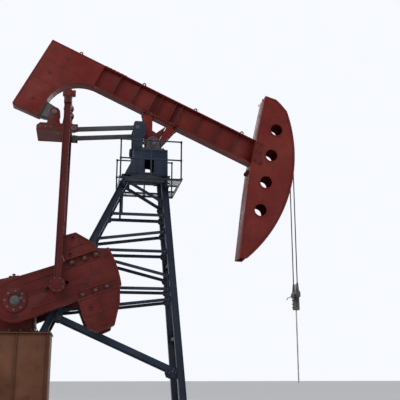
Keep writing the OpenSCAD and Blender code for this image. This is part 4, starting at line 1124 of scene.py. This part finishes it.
# %% Beam fittings
BEAM_LOW, BEAM_TOP = 0.833, 1.566
EYE = [(0.026, -0.014), (0.052, -0.014), (0.056, -0.009), (0.056, 0.009), (0.052, 0.014), (0.026, 0.014),
       (0.026, -0.014)]
bm = bmesh.new()
for a in (-3.08, -1.02, 0.67, 2.21):
    foot = [(a - 0.085, BEAM_TOP - 0.002), (a + 0.085, BEAM_TOP - 0.002), (a + 0.052, BEAM_TOP + 0.062),
            (a - 0.052, BEAM_TOP + 0.062)]
    add_turned(bm, EYE, (a, 0, BEAM_TOP + 0.095), (0, 1, 0), 28, ON_BEAM)
    add_plate(bm, foot, -0.013, 0.013, 0.004, ON_BEAM)
add_box(bm, (-2.27, -0.185, BEAM_TOP - 0.001), (-1.55, 0.185, BEAM_TOP + 0.016), 0.004, ON_BEAM)
add_box(bm, (-0.72, -0.19, BEAM_LOW - 0.018), (0.45, 0.19, BEAM_LOW + 0.001), 0.004, ON_BEAM)
for a, side in product((-0.35, 0.10), SIDES):
    add_box(bm, (a - 0.008, side * 0.012, BEAM_LOW + 0.03), (a + 0.008, side * 0.188, BEAM_TOP - 0.03), 0.002,
            ON_BEAM)
for side in SIDES:
    for h in (BEAM_LOW + 0.034, BEAM_TOP - 0.034):
        add_weld(bm, (-2.26, side * 0.013, h), (2.62, side * 0.013, h), 0.007, ON_BEAM)
    for a in (-1.7, -1.1, -0.56, 0.3, 0.9, 1.5, 2.1):
        add_weld(bm, (a - 0.003, side * 0.014, BEAM_LOW + 0.04), (a - 0.003, side * 0.014, BEAM_TOP - 0.04),
                 0.006, ON_BEAM)
piece("beam_fittings", bm, "beam", *RED)

bm = bmesh.new()
for side in SIDES:
    for a, y in product((-0.64, -0.54, -0.44, 0.18, 0.28, 0.38), (0.085, 0.165)):
        add_bolt(bm, (a, side * y, BEAM_LOW + 0.030), UP, 0.026, 0.016, ON_BEAM)
        add_bolt(bm, (a, side * y, BEAM_LOW - 0.0485), DOWN, 0.026, 0, ON_BEAM)
    for i, y in product(range(6), (0.06, 0.15)):
        add_bolt(bm, (-2.2 + 0.12 * i, side * y, BEAM_TOP + 0.016), UP, 0.022, 0, ON_BEAM)
piece("beam_bolts", bm, "beam", *BOLTS)

# %% Tail trim
HOLLOW = [(-2.21 + dx, -0.197 + dz) for dx, dz in (polar(1.03, 180 - a) for a in range(0, 86, 5))]
TAIL = [(-2.30, BEAM_TOP), (-3.96, BEAM_TOP), (-4.04, -0.71), (-3.24, -0.68)] + HOLLOW
bm = bmesh.new()
for side in SIDES:
    add_border(bm, TAIL, side * 0.198, side * 0.208, 0.014, 0.045, matrix=ON_BEAM)
    for end, h in ((-3.16, 0.30), (-2.85, 0.95)):
        add_box(bm, (-3.93, side * 0.198, h - 0.02), (end, side * 0.206, h + 0.02), matrix=ON_BEAM)
    for a, h in ((-3.58, 0.62), (-3.62, -0.30), (-3.30, 1.26)):
        add_turned(bm, [(0, 0), (0.05, 0), (0.055, 0.005), (0.055, 0.016), (0.048, 0.021), (0.03, 0.022),
                        (0, 0.022)], (a, side * 0.2, h), (0, side, 0), 28, ON_BEAM)
        add_bolt(bm, (a, side * 0.221, h), (0, side, 0), 0.020, 0, ON_BEAM)
piece("tail_trim", bm, "beam", *RED)

# %% Tail bearing, rocker and equalizer fittings
TAIL_PIN_X, TAIL_PIN_Z = -2.8, 8.67
bm = bmesh.new()
for side in SIDES:
    add_ring(bm, (0.062, 0.145, 0.150, 0.13), (0.004, 0.010, 0.014), (TAIL_PIN_X, side * 0.1635, TAIL_PIN_Z),
             side)
    add_bolts(bm, product((-3.21,), (side * 0.155, side * 0.105), (-0.51, -0.31)), (1, 0, 0), 0.020, 0,
              ON_BEAM)
piece("tail_bearing_covers", bm, "beam", *STEEL)

bm = bmesh.new()
for side in SIDES:
    add_ring(bm, (0, 0.070, 0.074, 0.066), (0.004, 0.018, 0.023), (TAIL_PIN_X, side * 0.221, TAIL_PIN_Z),
             side, 32)
    add_bolt_ring(bm, (TAIL_PIN_X, side * 0.244, TAIL_PIN_Z), side, 0.042, 3, 90, 0.013)
    add_turned(bm, [(0.101, 0), (0.135, 0), (0.138, 0.004), (0.138, 0.02), (0.101, 0.02), (0.101, 0)],
               (EQUAL_X, side * 0.315, EQUAL_Z), (0, side, 0), 40)
    add_bolts(bm, product((-3.15, -3.0, -2.85, -2.52), (side * 0.50,), (8.11,)), (0, side, 0), 0.020)
    add_bolts(bm, product((-3.18, -3.02, -2.86, -2.70), (side * 0.40,), (8.052,)), UP, 0.018)
    add_ring(bm, (0.02, 0.07, 0.075, 0.066), (0.004, 0.016, 0.020), (ROD_PIN_X, side * 0.50, ROD_PIN_Z), side,
             32)
piece("rocker_fittings", bm, "rocker", *BOLTS)
print("links dressed")

# %% [markdown]
# ## Saddle, horse head and its ropes
# The saddle is clamped to the beam's lower flange by four pairs of pads with bolts outside the flange, which
# needs no hole in the beam. The head is a box of two flame-cut side plates and a rolled face: each plate gets
# a border strip along its outline, a rolled ring round every window, and a bolted splice plate where it meets
# the beam. One wire rope runs up the face, round a horn under the top, and down again. Its section has six
# lobes that turn along its length, so the strands are real relief; a plain tube with a bump would look smooth
# at the outline, which the sky shows clearly.

# %% Saddle fittings
WEB_PLATE = [(-0.17, 0.26), (0.09, 0.26), (0.116, 0.70), (0.096, 0.68), (-0.049, 0.386), (-0.185, 0.41)]
bm = bmesh.new()
for side in SIDES:
    for a in (-0.62, 0.36):
        for low, high in ((0.800, 0.832), (0.864, 0.892)):
            add_box(bm, (a - 0.07, side * 0.150, low), (a + 0.07, side * 0.252, high), 0.004, ON_BEAM)
        for x in about(a, 0.04):
            add_bar(bm, (x, side * 0.228, 0.78), (x, side * 0.228, 0.89), 0.012, 12, 0, matrix=ON_BEAM)
            add_bolt(bm, (x, side * 0.228, 0.891), UP, 0.021, 0.02, ON_BEAM)
            add_bolt(bm, (x, side * 0.228, 0.800), DOWN, 0.021, 0.02, ON_BEAM)
    add_ring(bm, (0.112, 0.205, 0.210, 0.196), (0.006, 0.022, 0.034), (0, side * 0.168, PIVOT_Z), side, 56)
    add_bolt_ring(bm, (0, side * 0.201, PIVOT_Z), side, 0.165, 8, 10, 0.014)
    for x0, x1 in ((-0.69, -0.385), (0.135, 0.42)):
        add_weld(bm, (x0, side * 0.172, 0.797), (x1, side * 0.172, 0.797), 0.009, ON_BEAM)
    add_plate(bm, WEB_PLATE, side * 0.168, side * 0.183, matrix=ON_BEAM)
    add_weld(bm, (-0.049, side * 0.178, 0.386), (0.096, side * 0.178, 0.68), 0.007, ON_BEAM)
piece("saddle_fittings", bm, "beam", *DARK_RED)

# %% Horse head outline and windows
HEAD_R, PLATE_Y = 4.22, 0.314
WINDOWS = ((0.482, 10.1), (0.711, -2.43), (0.757, -16.35), (0.593, -29.99))
CORNERS = ((0, -49.97), (0.14, -52.22), (1.157, -26.78), (1.307, -11.89), (0.436, 27.04), (0.181, 23.65),
           (0.107, 21.39))
HEAD_LINE = [on_arc(HEAD_R - depth, angle) for depth, angle in CORNERS]
HEAD_LINE += [on_arc(HEAD_R, 17.5 - 67.3 * i / 44) for i in range(45)]

# %% Horse head trim
bm = bmesh.new()
for side in SIDES:
    add_border(bm, HEAD_LINE, side * PLATE_Y, side * 0.325, 0.020, 0.055)
    for depth, angle in WINDOWS:
        x, z = on_arc(HEAD_R - depth, angle)
        add_turned(bm, [(0.176, 0), (0.176, 0.010), (0.184, 0.014), (0.212, 0.014), (0.217, 0.010),
                        (0.217, 0), (0.176, 0)], (x, side * PLATE_Y, z), (0, side, 0), 56)
    for i in range(11):
        (x0, z0), (x1, z1) = on_arc(4.160, 16 - i * 6), on_arc(4.160, 11 - i * 6)
        add_weld(bm, (x0, side * 0.3185, z0), (x1, side * 0.3185, z1), 0.006)
piece("head_trim", bm, "beam", *RED)

# %% Horse head joint with the beam
SPLICE = [(2.81, 0.88), (3.10, 0.88), (3.13, 0.98), (3.02, 1.12), (2.96, 1.30), (2.93, 1.53), (2.68, 1.53)]
LOWER_LUG = [(2.87, 7.30), (2.78, 7.26), (2.755, 7.21), (2.765, 7.15), (2.85, 7.13)]
bm = bmesh.new()
for side in SIDES:
    add_plate(bm, SPLICE, side * PLATE_Y, side * 0.332, 0.004, ON_BEAM)
    for a, h in ((2.86, 0.94), (3.05, 0.94), (2.80, 1.20), (2.93, 1.20), (2.75, 1.46), (2.87, 1.46)):
        add_bolt(bm, (a, side * 0.332, h), (0, side, 0), 0.026, 0.02, ON_BEAM)
    add_plate(bm, LOWER_LUG, *about(side * 0.10, 0.012), 0.004)
    add_bolt(bm, (2.790, side * 0.138, 7.205), (0, side, 0), 0.020)
    for x, z in ((2.99, 7.36), (3.30, 9.47)):
        add_box(bm, (x - 0.005, side * 0.22 - 0.05, z - 0.02), (x + 0.006, side * 0.22 + 0.05, z + 0.02),
                0.002)
add_bar(bm, (2.790, -0.14, 7.205), (2.790, 0.14, 7.205), 0.016, 16)
piece("head_joint", bm, "beam", *DARK_RED)

# %% Head ropes and their horn
ROPE_X, ROPE_Y, ROPE_R, HORN = 4.2013, 0.17, 0.016, 13.9
LOBES = 6


def add_rope(bm, points, radius, lay=0.16, sides=36):
    """A rope of six strands: its section has six lobes that turn as it runs along its points."""
    part = bmesh.new()
    points = [Vector(p) for p in points]
    run, rings, turn, heading = 0.0, [], None, None
    for i, p in enumerate(points):
        along = (points[min(i + 1, len(points) - 1)] - points[max(i - 1, 0)]).normalized()
        turn = (turned_to(along) if turn is None
                else heading.rotation_difference(along).to_matrix().to_4x4() @ turn)
        heading = along
        run += (p - points[i - 1]).length if i else 0
        ring = []
        for k in range(sides):
            a = math.tau * k / sides
            r = radius * (0.91 + 0.09 * abs(math.cos(LOBES / 2 * (a - math.tau * run / lay))))
            ring.append(part.verts.new(p + turn @ Vector((r * math.cos(a), r * math.sin(a), 0))))
        rings.append(ring)
    for one, two in zip(rings, rings[1:]):
        for k in range(sides):
            part.faces.new((one[k], one[k - 1], two[k - 1], two[k]))
    part.faces.new(rings[0])
    part.faces.new(rings[-1])
    join(bm, part)


def on_face(degrees, y):
    """A point of the rope on the head's face."""
    x, z = on_arc(ROPE_X, degrees)
    return x, y, z


LOOP = math.degrees(ROPE_Y / ROPE_X)
line = [on_face(HORN * i / 90, -ROPE_Y) for i in range(90)]
line += [on_face(HORN + LOOP * math.cos(math.radians(t)), ROPE_Y * math.sin(math.radians(t)))
         for t in range(-90, 91, 4)]
line += [on_face(HORN * i / 90, ROPE_Y) for i in range(89, -1, -1)]
bm = bmesh.new()
add_rope(bm, line, ROPE_R)
piece("head_ropes", bm, "beam", rope_wire, "dark_steel", 60, ("rope_anchor",))

bm = bmesh.new()
add_turned(bm, [(0, -0.036), (0.158, -0.036), (0.158, -0.012), (0.150, -0.004), (0.150, 0.010),
                (0.166, 0.016), (0.166, 0.019), (0.05, 0.019), (0.05, 0.017), (0, 0.017)], on_face(HORN, 0),
           Vector(on_face(HORN, 0)) - Vector((0, 0, PIVOT_Z)), 48)
piece("rope_horn", bm, "beam", *DARK_RED)
print("head dressed")

# %% [markdown]
# ## Cranks, counterweights, pitmans, brake and bridle
# The cranks are thick castings: softened copies carry a border strip, a hub ring, the rings of the stroke
# holes and the T-slot rails, with lugs and big bolts that hold the weights. The two weights of a crank get
# cast ribs and ringed lifting holes. Pitman ends have bolted bearing covers on both faces. The brake drum is
# a turned piece on the input shaft with a band round it. The carrier block and the two clamp halves replace
# their CAD boxes, because their parting line and rope sockets can't be added to a solid box.

# %% Cranks
CRANK_LINE = [(1.45, -0.52), (2.60, -0.52), (2.66, -0.30), (2.68, 0.0), (2.66, 0.30), (2.60, 0.52),
              (1.45, 0.52), (0.10, 0.551), (-0.28, 0.484), (-0.484, 0.28), (-0.555, 0.0), (-0.484, -0.28),
              (-0.28, -0.484), (0.10, -0.551)]
CRANK_Y, WEIGHT_BOLTS = 1.098, (1.62, 1.96, 2.26)
bm = bmesh.new()
for side in SIDES:
    y = side * CRANK_Y
    add_border(bm, CRANK_LINE, y, side * 1.112, 0.016, 0.060, 0.004, ON_CRANK)
    add_ring(bm, (0.16, 0.300, 0.310, 0.290), (0.006, 0.030, 0.046), (0, y, 0), side, 64, ON_CRANK)
    for u in (0.841, 1.341):
        add_ring(bm, (0.052, 0.090, 0.093, 0.084), (0.004, 0.014, 0.020), (u, y, 0), side, 40, ON_CRANK)
    add_turned(bm, [(0.112, 0), (0.165, 0), (0.170, 0.006), (0.162, 0.030), (0.128, 0.044), (0.112, 0.044),
                    (0.112, 0)], (1.091, y, 0), (0, side, 0), 48, ON_CRANK)
    for way in SIDES:
        add_box(bm, (0.34, y, way * 0.318), (2.57, side * 1.118, way * 0.352), 0.005, ON_CRANK)
        for u in WEIGHT_BOLTS:
            add_box(bm, (u - 0.075, side * 1.095, way * 0.375), (u + 0.075, side * 1.175, way * 0.522), 0.012,
                    ON_CRANK)
piece("crank_trim", bm, "cranks", *DARK_RED)

bm = bmesh.new()
for side in SIDES:
    add_bolt_ring(bm, (0, side * 1.143, 0), side, 0.235, 8, 22.5, 0.024, ON_CRANK)
    add_turned(bm, [(0, 0), (0.105, 0), (0.112, 0.006), (0.112, 0.022), (0.100, 0.032), (0.05, 0.036),
                    (0, 0.036)], (0, side * 1.118, 0), (0, side, 0), 40, ON_CRANK)
    add_bolt_ring(bm, (0, side * 1.150, 0), side, 0.065, 3, 90, 0.018, ON_CRANK)
    add_box(bm, (0.138, side * 1.10, -0.028), (0.205, side * 1.152, 0.028), matrix=ON_CRANK)
    add_bolts(bm, [(u, side * 1.174, way * 0.445) for way in SIDES for u in WEIGHT_BOLTS], (0, side, 0),
              0.038, 0.03, ON_CRANK)
piece("crank_bolts", bm, "cranks", bolt_steel, "dark_steel")

# %% Counterweights
UPPER = [(1.45, 0.52), (2.32, 0.52), (2.32, 0.64), (2.19, 0.86), (1.95, 1.135), (1.65, 1.15), (1.52, 1.11),
         (1.46, 0.90)]
LOWER = [(1.45, -0.52), (1.47, -1.30), (1.67, -1.455), (2.12, -1.43), (2.43, -0.942), (2.58, -0.52)]
RIBS = ((1.95, 1.985, 0.60, 1.02), (1.54, 2.20, 0.775, 0.805), (1.96, 1.995, -1.34, -0.60),
        (1.54, 2.40, -1.015, -0.985))
WEIGHT_Y = 1.238
bm = bmesh.new()
for side in SIDES:
    for outline in (UPPER, LOWER):
        add_border(bm, outline, side * WEIGHT_Y, side * 1.256, 0.022, 0.050, 0.005, ON_CRANK)
    for u, v in ((1.83, 1.02), (1.64, 0.64), (1.905, -1.33), (1.71, -0.82)):
        add_turned(bm, [(0.031, 0), (0.060, 0), (0.064, 0.004), (0.058, 0.018), (0.031, 0.018), (0.031, 0)],
                   (u, side * WEIGHT_Y, v), (0, side, 0), 36, ON_CRANK)
    for u0, u1, v0, v1 in RIBS:
        add_box(bm, (u0, side * WEIGHT_Y, v0), (u1, side * 1.254, v1), 0.005, ON_CRANK)
piece("counterweight_ribs", bm, "cranks", *DARK_RED)
for name in ("counterweights_near", "counterweights_far"):
    soften(name, 0.014, keep_round=20)

# %% Pitman caps
bm, covers = bmesh.new(), bmesh.new()
for side in SIDES:
    outer_y = side * 1.439
    add_turned(covers, [(0, 0), (0.125, 0), (0.133, 0.004), (0.133, 0.010), (0.105, 0.014), (0.06, 0.017),
                        (0, 0.017)], (WRIST_X, outer_y, WRIST_Z), (0, side, 0), 48)
    for y, way in ((outer_y, side), (side * 1.301, -side)):
        add_bolt_ring(bm, (WRIST_X, y, WRIST_Z), way, 0.163, 8, 22.5, 0.016)
        add_bolts(bm, product((EQUAL_X - 0.115, EQUAL_X + 0.160), (y,), (EQUAL_Z + 0.050, EQUAL_Z - 0.015)),
                  (0, way, 0), 0.016)
    add_bolts(bm, product((EQUAL_X - 0.07, EQUAL_X + 0.06), (outer_y,), (8.65, 8.59, 8.53)), (0, side, 0),
              0.014)
    add_bolts(bm, product((EQUAL_X - 0.115, EQUAL_X + 0.160), (side * 1.37,), (8.834,)), UP, 0.026, 0.02)
    add_ring(covers, (0.071, 0.096, 0.100, 0.090), (0.004, 0.010, 0.014), (EQUAL_X, outer_y, EQUAL_Z), side)
piece("pitman_bolts", bm, "pitmans", *STEEL)
piece("pitman_covers", covers, "pitmans", *DARK_RED)

# %% Equalizer
COLLAR = [(0.098, -0.014), (0.108, -0.014), (0.112, -0.010), (0.112, 0.010), (0.108, 0.014), (0.098, 0.014),
          (0.098, -0.014)]
bm = bmesh.new()
for side, y in product(SIDES, (0.335, 1.262)):
    add_turned(bm, COLLAR, (EQUAL_X, side * y, EQUAL_Z), (0, side, 0), 40)
piece("equalizer_rings", bm, "rocker", *DARK_RED)
print("cranks, weights and pitmans dressed")

# %% Brake
DRUM = [(0.055, -0.055), (0.235, -0.055), (0.250, -0.045), (0.250, 0.050), (0.262, 0.053), (0.262, 0.062),
        (0.225, 0.062),
        (0.215, 0.010), (0.090, 0.0), (0.085, 0.060), (0.055, 0.060), (0.055, -0.055)]
bm = bmesh.new()
add_turned(bm, DRUM, (INPUT_X, -0.625, INPUT_Z), (0, 1, 0), 72)
piece("brake_drum", bm, "input_rotor", *STEEL)

bm = bmesh.new()
outside = [polar(0.268, a) for a in range(-60, 241, 6)]
inside = [(x * 0.945, z * 0.945) for x, z in reversed(outside)]
add_plate(bm, outside + inside, -0.665, -0.590, 0.002, on_input)
for x, z in (outside[0], outside[-1]):
    add_box(bm, (x - 0.014, -0.66, z - 0.055), (x + 0.014, -0.595, z + 0.005), matrix=on_input)
add_bar(bm, (-0.15, -0.628, -0.265), (0.15, -0.628, -0.265), 0.012, 12, 0, matrix=on_input)
for way in SIDES:
    add_bolt(bm, (way * 0.15, -0.628, -0.265), (way, 0, 0), 0.02, 0, on_input)
for low, high in (((-4.48, -0.665, 2.52), (-4.40, -0.50, 2.60)),
                  ((-4.465, -0.655, 2.58), (-4.415, -0.60, 3.14)),
                  ((-4.285, -0.835, 1.70), (-4.205, -0.765, 1.78))):
    add_box(bm, low, high, 0.004)
add_tube(bm,
         [(-4.30, -0.628, 3.11), (-4.22, -0.66, 2.95), (-4.22, -0.70, 2.60), (-4.22, -0.79, 2.45),
          (-4.22, -0.815, 1.95)], 0.014, 10)
add_tube(bm, [(-4.22, -0.82, 2.02), (-4.26, -0.83, 1.62), (-4.40, -0.83, 1.18), (-4.44, -0.83, 1.02)], 0.018)
add_bar(bm, (-4.432, -0.83, 1.06), (-4.468, -0.83, 0.90), 0.024, 16, 0.006)
piece("brake_band", bm, "frame", brown_paint, "dark_steel")

# %% Ladder ties
bm = bmesh.new()
for z, side in product((0.703, 2.400, 4.399, 5.508), SIDES):
    x = front_x(z)
    add_box(bm, (x + 0.030, side * 0.190, z - 0.020), (x + 0.090, side * 0.214, z + 0.020))
    add_bolt(bm, (x + 0.066, side * 0.227, z), (0, side, 0), 0.012)
for i, side in product(range(20), SIDES):
    z = 0.7 + 0.3 * i
    add_turned(bm, [(0.012, 0), (0.018, 0), (0.013, 0.006), (0.012, 0.006), (0.012, 0)],
               (front_x(z) + 0.0642, side * 0.2125, z), (0, -side, 0), 12)
piece("ladder_ties", bm, "frame", *NAVY)

# %% Carrier block
SOCKET = [(0.017, 0), (0.050, 0), (0.050, 0.03), (0.040, 0.04), (0.038, 0.125), (0.030, 0.131),
          (0.017, 0.131), (0.017, 0)]
COLLET = [(0.017, -0.01), (0.034, -0.01), (0.034, 0.03), (0.026, 0.11), (0.017, 0.13), (0.017, -0.01)]
BUTTON = [(0, 0), (0.030, 0), (0.036, 0.01), (0.036, 0.07), (0.044, 0.075), (0.044, 0.10), (0, 0.10)]
bm = bmesh.new()
add_block(bm, (ROPE_X, 0, 3.6525), (0.06, 0.26, 0.0725), 0.012)
add_block(bm, (ROPE_X, 0, 3.735), (0.05, 0.235, 0.020), 0.010)
for side in SIDES:
    for profile, z in ((SOCKET, 3.750), (COLLET, 3.87), (BUTTON, 3.482)):
        add_turned(bm, profile, (ROPE_X, side * ROPE_Y, z), UP, 24)
    for y, size in ((0.085, 0.024), (0.225, 0.018)):
        add_bolt(bm, (ROPE_X - 0.06, side * y, 3.652), (-1, 0, 0), size)
piece("carrier_block", bm, "hanger", *STEEL, stands_for=("carrier_bar",))

# %% Straight ropes
# Their upper ends stay where they leave the head, at the height of the pivot, and they hang straight down
# from there; they ride no body.
bm = bmesh.new()
for side in SIDES:
    add_rope(bm, [(ROPE_X, side * ROPE_Y, PIVOT_Z - 0.02 * i) for i in range(200)], ROPE_R, sides=24)
strands = piece("hanging_strands", bm, None, rope_wire, "dark_steel", 60, ("hanging_ropes",))
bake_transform(strands)

# %% Rod clamp
bm = bmesh.new()
for x in about(ROPE_X, 0.0415):
    add_block(bm, (x, 0, 3.405), (0.0385, 0.08, 0.175), 0.010)
add_bolts(bm, [(4.1213, y, z) for z in (3.30, 3.405, 3.51) for y in (-0.053, 0.053)], (-1, 0, 0), 0.019,
          0.012)
add_tube(bm,
         [(4.150, -0.13, 3.60), (4.06, -0.13, 3.615), (3.975, -0.13, 3.575), (3.915, -0.13, 3.545),
          (3.885, -0.13, 3.49)], 0.011, 10)
add_box(bm, (4.08, -0.155, 3.585), (4.15, -0.105, 3.64), 0.004)
piece("clamp_halves", bm, "hanger", bolt_steel, "dark_steel", stands_for=("rod_clamp",))
print("bridle dressed")

# %% Sizes and the end
low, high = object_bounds()
